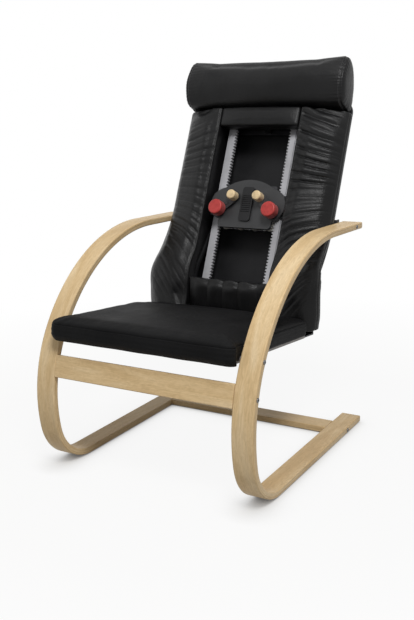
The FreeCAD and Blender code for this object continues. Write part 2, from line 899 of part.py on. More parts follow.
def make_gear_plate():
    half = pinion_x + 14.0
    low = carriage_low + 4.0
    plate = rounded_box(-half, half, low, -18.0, gear_plate_back, gear_plate_front, 6.0)
    for x in (-pinion_x, -travel_pitch, travel_pitch, pinion_x):
        bore = rod(x, travel_row_u, gear_plate_back - 1, gear_plate_front + 1, shaft_radius + running_gap)
        plate = plate.cut(bore)
    posts = []
    for x in (-travel_pitch * 2, 0.0, travel_pitch * 2):
        posts.append(rod(x, carriage_low + 8.0, gear_plate_front, plate_front - plate_thickness, 3.5))
    return join([plate] + posts)


def make_guide_shoe():
    back = rack_back - 3.0
    front = plate_front - plate_thickness
    block = box(rack_outer_x + slide_gap, rack_lip_x + 7, -12.0, 12.0, back, front)
    slot_back = rack_back + 3.0 - slide_gap
    slot_front = rack_front - 3.0 + slide_gap
    slot = box(rack_outer_x - 1, rack_lip_x + slide_gap, -13, 13, slot_back, slot_front)
    return block.cut(slot)


def make_guide_shoes():
    shoes = []
    for u in (-22.0, 22.0):
        shoe = make_guide_shoe()
        shoe.translate(V(0, u, 0))
        shoes.append(shoe)
        shoes.append(mirror(shoe))
    return shoes


def make_knead_motor():
    plate_back = plate_front - plate_thickness
    middle_n = plate_back - motor_radius - 1.0
    gearbox = rounded_box(
        -motor_radius, knead_pitch + 20, -15.0, 22.0, middle_n - motor_radius, plate_back, gearbox_round
    )
    can = Part.makeCylinder(motor_radius, motor_length, V(0, 21, middle_n), V(0, 1, 0))
    cap = Part.makeCylinder(motor_cap_radius, motor_cap_height, V(0, 21 + motor_length, middle_n), V(0, 1, 0))
    motor = join([gearbox, can, cap])
    return motor.cut(rod(knead_pitch, 0, plate_back - 9, plate_back + 1, shaft_radius + running_gap))


def make_travel_motor():
    middle_n = gear_plate_back - motor_radius - 1.0
    low = travel_row_u - 18.0
    high = travel_row_u + 18.0
    back = middle_n - motor_radius
    gearbox = rounded_box(-4.0, travel_pitch + 20, low, high, back, gear_plate_back, gearbox_round)
    start = -8.0 - motor_length
    can = Part.makeCylinder(motor_radius, motor_length + 6.0, V(start, travel_row_u, middle_n), V(1, 0, 0))
    end = start - motor_cap_height
    cap = Part.makeCylinder(motor_cap_radius, motor_cap_height, V(end, travel_row_u, middle_n), V(1, 0, 0))
    motor = join([gearbox, can, cap])
    hole = shaft_radius + running_gap
    bore = rod(travel_pitch, travel_row_u, gear_plate_back - 9, gear_plate_back + 1, hole)
    return motor.cut(bore)


# Rotating pieces
def make_kneader_gear(side, turn):
    x = side * kneader_x
    wheel = gear(gear_module, knead_teeth, turn, x, 0, knead_gear_back, knead_gear_front)
    tail = rod(x, 0, plate_front - plate_thickness - 1, knead_gear_back, shaft_radius)
    neck = rod(x, 0, knead_gear_front, arm_back, kneader_shaft_radius)
    return join([wheel, tail, neck])


def make_kneader_arm(side):
    x = side * kneader_x
    reach = math.hypot(head_orbit_x, head_orbit_u)
    half = 15.0
    bar = box(-reach, reach, -half, half, arm_back, arm_front)
    ends = [rod(end * reach, 0, arm_back, arm_front, half) for end in (-1, 1)]
    hub = rod(0, 0, arm_back, arm_front + 1.5, 6.5)
    arm = join([bar] + ends + [hub])
    arm.rotate(V(0, 0, 0), V(0, 0, 1), -side * math.degrees(math.atan2(head_orbit_u, head_orbit_x)))
    arm.translate(V(x, 0, 0))
    return arm


def make_head(x, u, radius):
    head = rod(x, u, arm_front, head_front, radius)
    rim = [e for e in head.Edges if abs(e.BoundBox.ZMin - head_front) < 0.01]
    return head.makeFillet(5.0, rim)


def make_red_head(side):
    return make_head(side * (kneader_x + head_orbit_x), -head_orbit_u, red_radius)


def make_cream_head(side):
    return make_head(side * (kneader_x - head_orbit_x), head_orbit_u, cream_radius)


def make_knead_gear(side, turn, tail):
    x = side * knead_pitch
    wheel = gear(gear_module, knead_teeth, turn, x, 0, knead_gear_back, knead_gear_front)
    plate_back = plate_front - plate_thickness
    shaft = rod(x, 0, plate_back - tail, knead_gear_back, shaft_radius)
    return join([wheel, shaft])


def make_pinion_gear(side, turn, pinion_turn):
    x = side * pinion_x
    u = travel_row_u
    wheel = gear(gear_module, travel_teeth, turn, x, u, travel_gear_back, travel_gear_front)
    pinion = gear(pinion_module, pinion_teeth, pinion_turn, x, u, travel_gear_front, rack_front - 0.5)
    front = rod(x, u, rack_front - 0.5, plate_front, shaft_radius)
    rear = rod(x, u, gear_plate_back, travel_gear_back, shaft_radius)
    return join([wheel, pinion, front, rear])


def make_travel_gear(side, turn, tail):
    x = side * travel_pitch
    u = travel_row_u
    wheel = gear(gear_module, travel_teeth, turn, x, u, travel_gear_back, travel_gear_front)
    front = rod(x, u, travel_gear_front, plate_front, shaft_radius)
    rear = rod(x, u, gear_plate_back - tail, travel_gear_back, shaft_radius)
    return join([wheel, front, rear])


# Fixings of the back and the electrics
def make_arm_bracket():
    # a cheek against the arm's inner face and a flange on the rear of the shell
    y, z = arm_bolt
    h = arm_bracket_half
    x1 = strip_inner_x - joint_clearance
    x0 = x1 - bracket_steel
    cheek = box(x0, x1, y - arm_bracket_reach, y + h, z - h, z + h)
    flange = back_slab(half_width, shell_rear_depth, shell_rear_depth + bracket_steel, shell_top_u, 0.0)
    window = box(shell_half - arm_flange_width, x1, back_front_y, y + arm_bracket_reach, z - h, z + h)
    shell_side = back_slab(half_width, -lumbar_radius, shell_rear_depth, shell_top_u, 0.0)
    bracket = join([flange.common(window), cheek.cut(shell_side)])
    return bracket.cut(rod_x(0, half_width, y, z, bolt_radius + thread_clearance))


def make_seat_bracket():
    # a bent strap from under the seat frame's rear up the back of the shell
    slope = math.tan(math.radians(seat_slope))
    drop = seat_tube_drop / math.cos(math.radians(seat_slope))
    x1 = shell_half - seat_strap_from_edge
    t = bracket_steel
    y0 = back_front_y - seat_strap_run
    y1 = back_front_y + shell_rear_depth
    top = back_upright_top - 10.0

    def under(y):
        return seat_bolt[1] - drop - (y - seat_bolt[0]) * slope

    corners = [
        (y0, under(y0)), (y1, under(y1)), (y1, top), (y1 + t, top),
        (y1 + t, under(y1) - t), (y1, under(y1) - t), (y0, under(y0) - t),
    ]
    points = [yz(p, x1 - seat_strap_width) for p in corners]
    points.append(points[0])
    return Part.Face(Part.makePolygon(points)).extrude(V(seat_strap_width, 0, 0))


control_x1 = -hump_half - hump_flange - control_from_cover
control_x0 = control_x1 - control_width
control_low = back_bottom_z + 4.0


def make_control_box():
    y0 = back_front_y + shell_rear_depth
    high = control_low + control_height
    return rounded_box(control_x0, control_x1, y0, y0 + control_depth, control_low, high, 4.0)


def make_power_inlet():
    y = back_front_y + shell_rear_depth + control_depth / 2
    x = (control_x0 + control_x1) / 2
    end = control_low - inlet_length
    collar = rod(x, y, end, control_low, inlet_radius)
    return collar.cut(rod(x, y, end - 1.0, control_low - 2.0, inlet_radius - 2.5))


def make_limit_switch(side):
    near = rail_reach - 20.0
    low, high = (near, near + switch_size) if side > 0 else (-near - switch_size, -near)
    return box(-switch_size / 2, switch_size / 2, low, high, rail_back, rail_back + switch_size * 2 / 3)


parts = {}
right_frame = make_side_frame()
parts["side_frame_right"] = right_frame
parts["side_frame_left"] = mirror(right_frame)
parts["front_rail"] = make_rail(front_bolt, front_rail_heading, rail_height)
parts["base_rail"] = make_rail(base_bolt, 0.0, base_rail_width)
bolts = []
nuts = []
for bolt_point, turn in ((front_bolt, front_rail_heading), (base_bolt, 0.0)):
    bolt = make_bolt(bolt_point, strip_inner_x - nut_from_end - nut_radius - 4.0)
    bolts += [bolt, mirror(bolt)]
    nuts += [make_drilled_nut(bolt_point, turn, -1), make_drilled_nut(bolt_point, turn, 1)]
seat_screw = make_bolt(seat_bolt, tube_half - seat_tube_width)
arm_screw = make_bolt(arm_bolt, strip_inner_x - 8.0)
bolts += [seat_screw, mirror(seat_screw), arm_screw, mirror(arm_screw)]
parts["frame_bolts"] = Part.makeCompound(bolts)
parts["barrel_nuts"] = Part.makeCompound(nuts)
glides = []
for glide_x in (strip_inner_x + strip_width / 2, -strip_inner_x - strip_width / 2):
    for glide_y in (glide_from_bend, runner_end_y - glide_from_end):
        glides.append(rod(glide_x, glide_y, -glide_height, 0.0, glide_radius))
parts["floor_glides"] = Part.makeCompound(glides)

parts["seat_frame"] = make_seat_frame()
parts["seat_board"] = make_seat_board()
parts["seat_cushion"] = make_seat_cushion()
bracket = make_seat_bracket()
parts["seat_brackets"] = Part.makeCompound([bracket, mirror(bracket)])
arm_bracket = make_arm_bracket()
parts["arm_brackets"] = Part.makeCompound([arm_bracket, mirror(arm_bracket)])

parts["back_shell"] = make_back_shell()
bolster = make_bolster()
parts["bolster_right"] = bolster
parts["bolster_left"] = mirror(bolster)
parts["centre_panel_top"] = make_centre_panel_top()
parts["centre_panel_bottom"] = make_centre_panel_bottom()
parts["headrest_roll"] = make_headrest_roll()
parts["rear_cover"] = make_rear_cover()

right_rail = make_guide_rail()
parts["guide_rail_right"] = right_rail
parts["guide_rail_left"] = mirror(right_rail)
parts["rack_right"] = back_place(make_rack(False))
parts["rack_left"] = back_place(mirror(make_rack(True)))
parts["cross_plate_top"] = make_cross_plate(1)
parts["cross_plate_bottom"] = make_cross_plate(-1)
parts["limit_switches"] = back_place(Part.makeCompound([make_limit_switch(1), make_limit_switch(-1)]))
parts["control_box"] = make_control_box()
parts["power_inlet"] = make_power_inlet()

parts["carriage_plate"] = back_place(make_carriage_plate())
parts["carriage_shell"] = back_place(make_front_shell())
parts["vent_column"] = back_place(make_vent_column())
parts["gear_plate"] = back_place(make_gear_plate())
parts["guide_shoes"] = back_place(Part.makeCompound(make_guide_shoes()))
parts["knead_motor"] = back_place(make_knead_motor())
parts["travel_motor"] = back_place(make_travel_motor())

for name, side in (("left", -1), ("right", 1)):
    parts["kneader_gear_" + name] = back_place(make_kneader_gear(side, 0.0))
    parts["kneader_arm_" + name] = back_place(make_kneader_arm(side))
    parts["red_head_" + name] = back_place(make_red_head(side))
    parts["cream_head_" + name] = back_place(make_cream_head(side))
parts["knead_idler"] = back_place(make_knead_gear(-1, 0.0, 0.0))
parts["knead_drive"] = back_place(make_knead_gear(1, 0.0, 8.0))
parts["pinion_gear_left"] = back_place(make_pinion_gear(-1, 0.0, 0.0))
parts["pinion_gear_right"] = back_place(make_pinion_gear(1, 0.0, 0.0))
parts["travel_idler"] = back_place(make_travel_gear(-1, 0.0, 0.0))
parts["travel_drive"] = back_place(make_travel_gear(1, 0.0, 8.0))

# The origin goes to the middle of the floor under the whole chair.
front_most = min(shape.optimalBoundingBox().YMin for shape in parts.values())
rear_most = max(shape.optimalBoundingBox().YMax for shape in parts.values())
lowest = min(shape.optimalBoundingBox().ZMin for shape in parts.values())
home = V(0, -(front_most + rear_most) / 2, -lowest)
for name, shape in parts.items():
    shape.translate(home)
    shape.exportStep("parts/" + name + ".step")
print("home", home.x, home.y, home.z)
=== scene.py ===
import bpy
import bmesh
import math
import numpy as np
from mathutils import Matrix, Vector
from mathutils.bvhtree import BVHTree


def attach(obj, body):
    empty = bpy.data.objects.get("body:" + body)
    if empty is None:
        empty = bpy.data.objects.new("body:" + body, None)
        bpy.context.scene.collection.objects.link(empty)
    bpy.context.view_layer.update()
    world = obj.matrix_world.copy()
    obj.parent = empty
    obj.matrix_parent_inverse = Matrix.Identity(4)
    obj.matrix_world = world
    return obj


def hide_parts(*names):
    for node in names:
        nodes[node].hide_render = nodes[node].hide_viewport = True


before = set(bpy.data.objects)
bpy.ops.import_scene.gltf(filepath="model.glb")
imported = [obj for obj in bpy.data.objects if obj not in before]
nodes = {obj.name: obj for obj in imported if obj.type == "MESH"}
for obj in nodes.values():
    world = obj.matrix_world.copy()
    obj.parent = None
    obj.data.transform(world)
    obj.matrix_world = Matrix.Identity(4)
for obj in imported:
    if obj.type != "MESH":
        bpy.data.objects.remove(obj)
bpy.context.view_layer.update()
scene = bpy.context.scene
home = np.array((0.0, -0.257295, 0.002))  # the chair's own zero, as it lies in the frame
print("frame loaded,", len(nodes), "nodes")

# camera at the photograph's place, for a picture 414 wide and 620 tall
shot = dict(place=(1.195477, -2.065292, 0.994649), yaw=0.533922, pitch=0.247094, roll=-0.025534,
            focal=859.217, tall=620, sensor=36.0)


def makeCamera(w):
    # the camera looks along yaw and pitch, then turns about its own axis by roll
    cosYaw, sinYaw = math.cos(w["yaw"]), math.sin(w["yaw"])
    cosPitch, sinPitch = math.cos(w["pitch"]), math.sin(w["pitch"])
    cosRoll, sinRoll = math.cos(w["roll"]), math.sin(w["roll"])
    ahead = np.array((-sinYaw * cosPitch, cosYaw * cosPitch, -sinPitch))
    level = np.array((cosYaw, sinYaw, 0.0))
    above = np.cross(level, ahead)
    right = level * cosRoll + above * sinRoll
    up = above * cosRoll - level * sinRoll
    data = bpy.data.cameras.new("photoCamera")
    data.sensor_width = w["sensor"]
    data.lens = w["focal"] / w["tall"] * w["sensor"]
    camera = bpy.data.objects.new("photoCamera", data)
    rows = np.column_stack((right, up, -ahead, np.array(w["place"])))
    camera.matrix_world = Matrix([list(r) for r in rows] + [[0, 0, 0, 1]])
    scene.collection.objects.link(camera)
    scene.camera = camera


makeCamera(shot)

# finishes: every one is built from noise and cells on the piece's own coordinates


def newFinish(name, **sockets):
    # an empty material with one shader; the values named are set on its own sockets
    mat = bpy.data.materials.new(name)
    mat.use_nodes = True
    tree = mat.node_tree
    tree.nodes.clear()
    out = tree.nodes.new("ShaderNodeOutputMaterial")
    skin = tree.nodes.new("ShaderNodeBsdfPrincipled")
    tree.links.new(skin.outputs["BSDF"], out.inputs["Surface"])
    for key, value in sockets.items():
        skin.inputs[key.replace("_", " ")].default_value = value
    return mat, tree, skin


def put(tree, kind, inputs, **settings):
    # one node; an input given as a socket is linked, and any other value is set
    node = tree.nodes.new("ShaderNode" + kind)
    for key, value in settings.items():
        setattr(node, key, value)
    for key, value in inputs.items():
        if isinstance(value, bpy.types.NodeSocket):
            tree.links.new(value, node.inputs[key])
        else:
            node.inputs[key].default_value = value
    return node


def calc(tree, operation, a, b=0.5):
    return put(tree, "Math", {0: a, 1: b}, operation=operation).outputs[0]


def ramp(tree, value, *stops):
    # colour stops as (position, colour)
    node = put(tree, "ValToRGB", {"Fac": value})
    elements = node.color_ramp.elements
    while len(elements) < len(stops):
        elements.new(0.5)
    for element, (position, colour) in zip(elements, stops):
        element.position = position
        element.color = (*colour, 1.0)
    return node.outputs["Color"]


def spread(tree, value, low, high):
    # a 0..1 noise carried to low..high, with its middle stretched
    return put(tree, "MapRange", {"Value": value, "From Min": 0.3, "From Max": 0.7, "To Min": low,
                                  "To Max": high}).outputs["Result"]


def noise(tree, place, scale, detail=2.0, stretch=None, distortion=0.0):
    if stretch:
        place = put(tree, "Mapping", {"Vector": place, "Scale": stretch}).outputs["Vector"]
    return put(tree, "TexNoise", {"Vector": place, "Scale": scale, "Detail": detail,
                                  "Distortion": distortion}).outputs["Fac"]


def tint(tree, factor, first, second, blend="MIX"):
    node = put(tree, "Mix", {0: factor, 6: first, 7: second}, data_type="RGBA", blend_type=blend)
    return node.outputs[2]


def bump(tree, skin, height, strength, distance, below=None):
    inputs = {"Height": height, "Strength": strength, "Distance": distance}
    if below is not None:
        inputs["Normal"] = below
    normal = put(tree, "Bump", inputs).outputs["Normal"]
    tree.links.new(normal, skin.inputs["Normal"])
    return normal


birch = dict(pale=(0.820, 0.655, 0.425), mid=(0.755, 0.572, 0.335), dark=(0.670, 0.488, 0.268),
             glue=(0.42, 0.27, 0.13), ply=0.0015, rough=(0.36, 0.50), coat=0.03, specular=0.15,
             figure=(3.2, 22.0, 60.0), fibre=(16.0, 620.0, 500.0), fleck=(85.0, 1500.0, 900.0),
             mottle=(30.0, 76.0, 60.0))


def makeBirch(w):
    # fibres run along the first coordinate of woodPlace, and plies lie across the third
    mat, tree, skin = newFinish("lacqueredBirch", Coat_Weight=w["coat"], Coat_Roughness=0.28,
                                Specular_IOR_Level=w["specular"])
    place = put(tree, "Attribute", {}, attribute_name="woodPlace").outputs["Vector"]
    figure = noise(tree, place, 1.0, 3.0, w["figure"], 1.1)
    fibre = noise(tree, place, 1.0, 4.0, w["fibre"])
    fleck = noise(tree, place, 1.0, 2.0, w["fleck"])
    tone = ramp(tree, figure, (0.30, w["dark"]), (0.48, w["mid"]), (0.70, w["pale"]))
    grain = ramp(tree, fibre, (0.30, (0.80, 0.77, 0.72)), (0.62, (1.0, 1.0, 1.0)))
    tone = tint(tree, 0.75, tone, grain, "MULTIPLY")
    mottle = noise(tree, place, 1.0, 3.0, w["mottle"], 2.2)
    waves = ramp(tree, mottle, (0.34, (0.905, 0.885, 0.855)), (0.64, (1.04, 1.04, 1.04)))
    tone = tint(tree, 0.85, tone, waves, "MULTIPLY")
    specks = ramp(tree, fleck, (0.27, (0.72, 0.64, 0.54)), (0.36, (1.0, 1.0, 1.0)))
    tone = tint(tree, 0.55, tone, specks, "MULTIPLY")
    depth = put(tree, "SeparateXYZ", {"Vector": place}).outputs["Z"]
    layer = calc(tree, "ADD", calc(tree, "DIVIDE", depth, w["ply"]), 0.5)
    between = calc(tree, "FRACT", layer)
    away = calc(tree, "ABSOLUTE", calc(tree, "SUBTRACT", between, 0.5), 0.0)
    seam = put(tree, "MapRange", {"Value": away, "From Min": 0.40, "From Max": 0.49, "To Min": 0.0,
                                  "To Max": 0.55}).outputs["Result"]
    chance = put(tree, "TexWhiteNoise", {"W": calc(tree, "FLOOR", layer)}, noise_dimensions="1D")
    plyTone = chance.outputs["Value"]
    shade = ramp(tree, plyTone, (0.0, (0.84, 0.80, 0.74)), (1.0, (1.04, 1.03, 1.0)))
    tone = tint(tree, 0.8, tone, shade, "MULTIPLY")
    tone = tint(tree, seam, tone, (*w["glue"], 1.0))
    tree.links.new(tone, skin.inputs["Base Color"])
    tree.links.new(spread(tree, fibre, *w["rough"]), skin.inputs["Roughness"])
    bump(tree, skin, fibre, 0.10, 0.0004)
    return mat


leather = dict(deep=(0.0050, 0.0050, 0.0053), worn=(0.0115, 0.0115, 0.0120), cell=560.0, pore=2100.0, broad=7.0,
               crease=38.0, creaseLong=0.45)


def makeLeather(name, w, roughLow, roughHigh, specular):
    # pebble grain from cell edges, fine pores, and creases in one direction from a stretched noise
    mat, tree, skin = newFinish(name, Specular_IOR_Level=specular)
    place = put(tree, "TexCoord", {}).outputs["Object"]
    warp = put(tree, "TexNoise", {"Vector": place, "Scale": 180.0, "Detail": 2.0}).outputs["Color"]
    bent = tint(tree, 0.004, place, warp, "ADD")
    cell = put(tree, "TexVoronoi", {"Vector": bent, "Scale": w["cell"]}, feature="DISTANCE_TO_EDGE")
    pebble = put(tree, "MapRange", {"Value": cell.outputs["Distance"], "From Max": 0.22}).outputs["Result"]
    pores = noise(tree, place, w["pore"], 2.0)
    broad = noise(tree, place, w["broad"], 4.0)
    stretch = (w["crease"], w["crease"], w["crease"] * w["creaseLong"])
    crease = noise(tree, place, 1.0, 5.0, stretch, 0.8)
    tone = ramp(tree, broad, (0.32, w["deep"]), (0.70, w["worn"]))
    # painted shade: the grain's valleys along the cell edges are darkened to about half
    valley = ramp(tree, pebble, (0.0, (0.55, 0.55, 0.55)), (1.0, (1.0, 1.0, 1.0)))
    tree.links.new(tint(tree, 1.0, tone, valley, "MULTIPLY"), skin.inputs["Base Color"])
    tree.links.new(spread(tree, broad, roughLow, roughHigh), skin.inputs["Roughness"])
    first = bump(tree, skin, crease, 0.22, 0.004)
    second = bump(tree, skin, pebble, 0.30, 0.00035, first)
    bump(tree, skin, pores, 0.10, 0.0001, second)
    return mat


def makePlastic(name, colour, rough, texture, specular=0.45):
    # moulded plastic: spark-eroded texture, slight flow marks, and painted shade that darkens the low spots of the
    # texture
    mat, tree, skin = newFinish(name, Specular_IOR_Level=specular)
    place = put(tree, "TexCoord", {}).outputs["Object"]
    fine = noise(tree, place, 1600.0, 2.0)
    flow = noise(tree, place, 14.0, 4.0, None, 0.6)
    dark = tuple(c * 0.82 for c in colour)
    light = tuple(min(1.0, c * 1.14 + 0.003) for c in colour)
    tone = ramp(tree, flow, (0.30, dark), (0.52, colour), (0.74, light))
    # painted shade: the low spots of the fine texture, where the bump below also sinks, are darkened
    lowSpotShade = ramp(tree, fine, (0.30, (0.86, 0.86, 0.86)), (0.60, (1.0, 1.0, 1.0)))
    tree.links.new(tint(tree, 0.8, tone, lowSpotShade, "MULTIPLY"), skin.inputs["Base Color"])
    tree.links.new(spread(tree, flow, rough - 0.06, rough + 0.08), skin.inputs["Roughness"])
    bump(tree, skin, fine, texture, 0.0003)
    return mat


def makeMetal(name, colour, rough, stretch, metallic=1.0):
    # rolled sheet or turned bar: long scratches one way, cloudy plating over them
    mat, tree, skin = newFinish(name, Metallic=metallic)
    place = put(tree, "TexCoord", {}).outputs["Object"]
    scratch = noise(tree, place, 1.0, 3.0, stretch)
    cloud = noise(tree, place, 22.0, 4.0)
    dark = tuple(c * 0.74 for c in colour)
    light = tuple(min(1.0, c * 1.16) for c in colour)
    tone = ramp(tree, cloud, (0.28, dark), (0.50, colour), (0.72, light))
    streak = ramp(tree, scratch, (0.32, (0.80, 0.80, 0.80)), (0.62, (1.0, 1.0, 1.0)))
    tree.links.new(tint(tree, 0.7, tone, streak, "MULTIPLY"), skin.inputs["Base Color"])
    tree.links.new(spread(tree, scratch, rough - 0.08, rough + 0.10), skin.inputs["Roughness"])
    bump(tree, skin, scratch, 0.08, 0.0002)
    return mat


def makeRubber(name, colour, rough):
    # soft moulded rubber: mottled, slightly bloomed on top of the grain
    mat, tree, skin = newFinish(name, Specular_IOR_Level=0.4, Sheen_Weight=0.15, Sheen_Roughness=0.5)
    place = put(tree, "TexCoord", {}).outputs["Object"]
    mottle = noise(tree, place, 90.0, 4.0)
    fine = noise(tree, place, 1300.0, 2.0)
    dark = tuple(c * 0.78 for c in colour)
    bloom = tuple(min(1.0, c * 1.10 + 0.012) for c in colour)
    tree.links.new(ramp(tree, mottle, (0.30, dark), (0.50, colour), (0.75, bloom)), skin.inputs["Base Color"])
    tree.links.new(spread(tree, mottle, rough - 0.06, rough + 0.08), skin.inputs["Roughness"])
    bump(tree, skin, fine, 0.12, 0.0002)
    return mat


finishes = dict(
    birch=makeBirch(birch),
    leather=makeLeather("blackLeather", leather, 0.28, 0.39, 0.19),
    seatLeather=makeLeather("seatLeather", leather, 0.52, 0.64, 0.07),
    seatPaint=makeMetal("taupePaint", (0.235, 0.215, 0.200), 0.42, (60.0, 700.0, 700.0), 0.15),
    boltZinc=makeMetal("darkZincBolt", (0.17, 0.165, 0.16), 0.36, (900.0, 60.0, 60.0)),
    sheetSteel=makeMetal("zincSheet", (0.42, 0.42, 0.43), 0.40, (700.0, 60.0, 60.0)),
    railSteel=makeMetal("blackenedSteel", (0.050, 0.050, 0.053), 0.44, (700.0, 700.0, 40.0)),
    motorCan=makeMetal("motorCan", (0.27, 0.27, 0.28), 0.34, (60.0, 800.0, 800.0), 0.9),
    footRubber=makeRubber("footRubber", (0.035, 0.035, 0.036), 0.62),
    shellPlastic=makePlastic("shellPlastic", (0.011, 0.011, 0.012), 0.52, 0.22, 0.16),
    housing=makePlastic("charcoalHousing", (0.031, 0.0315, 0.033), 0.40, 0.14, 0.32),
    vent=makePlastic("ventPlastic", (0.011, 0.011, 0.012), 0.46, 0.14, 0.22),
    rack=makePlastic("rackPlastic", (0.40, 0.40, 0.42), 0.38, 0.08),
    gear=makePlastic("gearPlastic", (0.72, 0.70, 0.65), 0.34, 0.06),
    redHead=makeRubber("redHead", (0.40, 0.030, 0.026), 0.44),
    creamHead=makeRubber("creamHead", (0.72, 0.545, 0.315), 0.42),
    plyBoard=makeMetal("boardPly", (0.50, 0.36, 0.21), 0.60, (14.0, 500.0, 300.0), 0.0),
    thread=makeRubber("seamThread", (0.020, 0.020, 0.021), 0.60),
)

cadFinish = dict(
    seatPaint=["seat_frame"], plyBoard=["seat_board"], footRubber=["floor_glides"],
    boltZinc=["frame_bolts", "barrel_nuts"],
    sheetSteel=["gear_plate"],
    railSteel=["guide_rail_left", "guide_rail_right", "cross_plate_top", "cross_plate_bottom", "seat_brackets",
               "arm_brackets", "carriage_plate"],
    shellPlastic=["back_shell", "rear_cover", "control_box", "power_inlet", "limit_switches"],
    housing=["carriage_shell", "kneader_arm_left", "kneader_arm_right"],
    vent=["vent_column", "guide_shoes"],
    rack=["rack_left", "rack_right"],
    motorCan=["knead_motor", "travel_motor"],
    gear=["kneader_gear_left", "kneader_gear_right", "knead_idler", "knead_drive", "pinion_gear_left",
          "pinion_gear_right", "travel_idler", "travel_drive"],
    redHead=["red_head_left", "red_head_right"], creamHead=["cream_head_left", "cream_head_right"],
)
for finishName, members in cadFinish.items():
    for member in members:
        for place in nodes[member].material_slots:
            place.material = finishes[finishName]
print("finishes set on", sum(len(m) for m in cadFinish.values()), "nodes")

# building blocks for the new pieces


def walk(lengths, bends, start, heading, step):
    # a line of straights and arcs: each step's chord lies at the middle heading, so arcs are exact
    counts = np.maximum(np.ceil(np.array(lengths) / step), 1).astype(int)
    run = np.repeat(np.array(lengths) / counts, counts)
    turn = run * np.repeat(np.array(bends), counts)
    heads = math.radians(heading) + np.concatenate(((0.0,), np.cumsum(turn)))
    middle = heads[:-1] + turn / 2
    chord = run * np.sinc(turn / 2 / np.pi)
    y = start[0] + np.concatenate(((0.0,), np.cumsum(-chord * np.cos(middle))))
    z = start[1] + np.concatenate(((0.0,), np.cumsum(chord * np.sin(middle))))
    return np.concatenate(((0.0,), np.cumsum(run))), y, z, heads


def roundedRing(width, thick, radius):
    # a rectangle with rounded corners, with a close pair of points at each end of its flats
    corners = np.array(((1, 1), (-1, 1), (-1, -1), (1, -1)), float)
    middle = corners * (np.array((width, thick)) / 2 - radius)
    turns = np.radians(np.linspace(0, 90, 5))[None, :] + np.radians(90 * np.arange(4))[:, None]
    arcs = middle[:, None, :] + radius * np.stack((np.cos(turns), np.sin(turns)), -1)
    tangent = np.stack((-np.sin(turns[:, [0, -1]]), np.cos(turns[:, [0, -1]])), -1)
    before = arcs[:, :1] - tangent[:, :1] * radius * 0.5
    after = arcs[:, -1:] + tangent[:, 1:] * radius * 0.5
    return np.concatenate((before, arcs, after), 1).reshape(-1, 2)


def gridPiece(name, points, finish, capped=True, attribute=None):
    # rows of rings, one set or several: the rings are closed, and the first and last rows are closed by caps
    rows, cols = points.shape[-3:-1]
    index = np.arange(points.size // 3).reshape(-1, rows, cols)
    ahead = np.roll(index, -1, 2)
    quads = np.stack((index[:, :-1], ahead[:, :-1], ahead[:, 1:], index[:, 1:]), -1).reshape(-1, 4).tolist()
    if capped:
        quads += index[:, 0, ::-1].tolist() + index[:, -1].tolist()
    mesh = bpy.data.meshes.new(name)
    mesh.from_pydata(points.reshape(-1, 3), [], quads)
    if attribute is not None:
        store = mesh.attributes.new("woodPlace", "FLOAT_VECTOR", "POINT")
        store.data.foreach_set("vector", np.ascontiguousarray(attribute, float).ravel())
    return finishMesh(name, mesh, finish)


def finishMesh(name, mesh, finish):
    # merged, with faces turned outwards and shaded smooth
    work = bmesh.new()
    work.from_mesh(mesh)
    bmesh.ops.remove_doubles(work, verts=work.verts, dist=1e-6)
    bmesh.ops.recalc_face_normals(work, faces=work.faces)
    work.to_mesh(mesh)
    work.free()
    mesh.polygons.foreach_set("use_smooth", np.ones(len(mesh.polygons), bool))
    mesh.materials.clear()
    mesh.materials.append(finishes[finish])
    piece = bpy.data.objects.new(name, mesh)
    scene.collection.objects.link(piece)
    return piece


def places(mesh):
    flat = np.empty(len(mesh.vertices) * 3)
    mesh.vertices.foreach_get("co", flat)
    return flat.reshape(-1, 3)


def outward(mesh):
    flat = np.empty(len(mesh.vertices) * 3)
    mesh.vertex_normals.foreach_get("vector", flat)
    return flat.reshape(-1, 3)


def setPlaces(mesh, points):
    mesh.vertices.foreach_set("co", np.ascontiguousarray(points).ravel())
    mesh.update()


def bake(piece):
    # the mesh with its modifiers worked in
    graph = bpy.context.evaluated_depsgraph_get()
    made = bpy.data.meshes.new_from_object(piece.evaluated_get(graph))
    piece.modifiers.clear()
    old = piece.data
    piece.data = made
    bpy.data.meshes.remove(old)
    return made


def eased(mesh, shift, rounds):
    # each point's shift drawn halfway to its neighbours' mean, so that a kink spreads out
    count = len(mesh.vertices)
    pairs = np.empty(len(mesh.edges) * 2, np.int32)
    mesh.edges.foreach_get("vertices", pairs)
    near, far = pairs[0::2], pairs[1::2]
    share = np.bincount(pairs, minlength=count)[:, None]
    for turn in range(rounds):
        total = [np.bincount(near, s[far], count) + np.bincount(far, s[near], count) for s in shift.T]
        shift = (shift + np.stack(total, -1) / share) / 2
    return shift


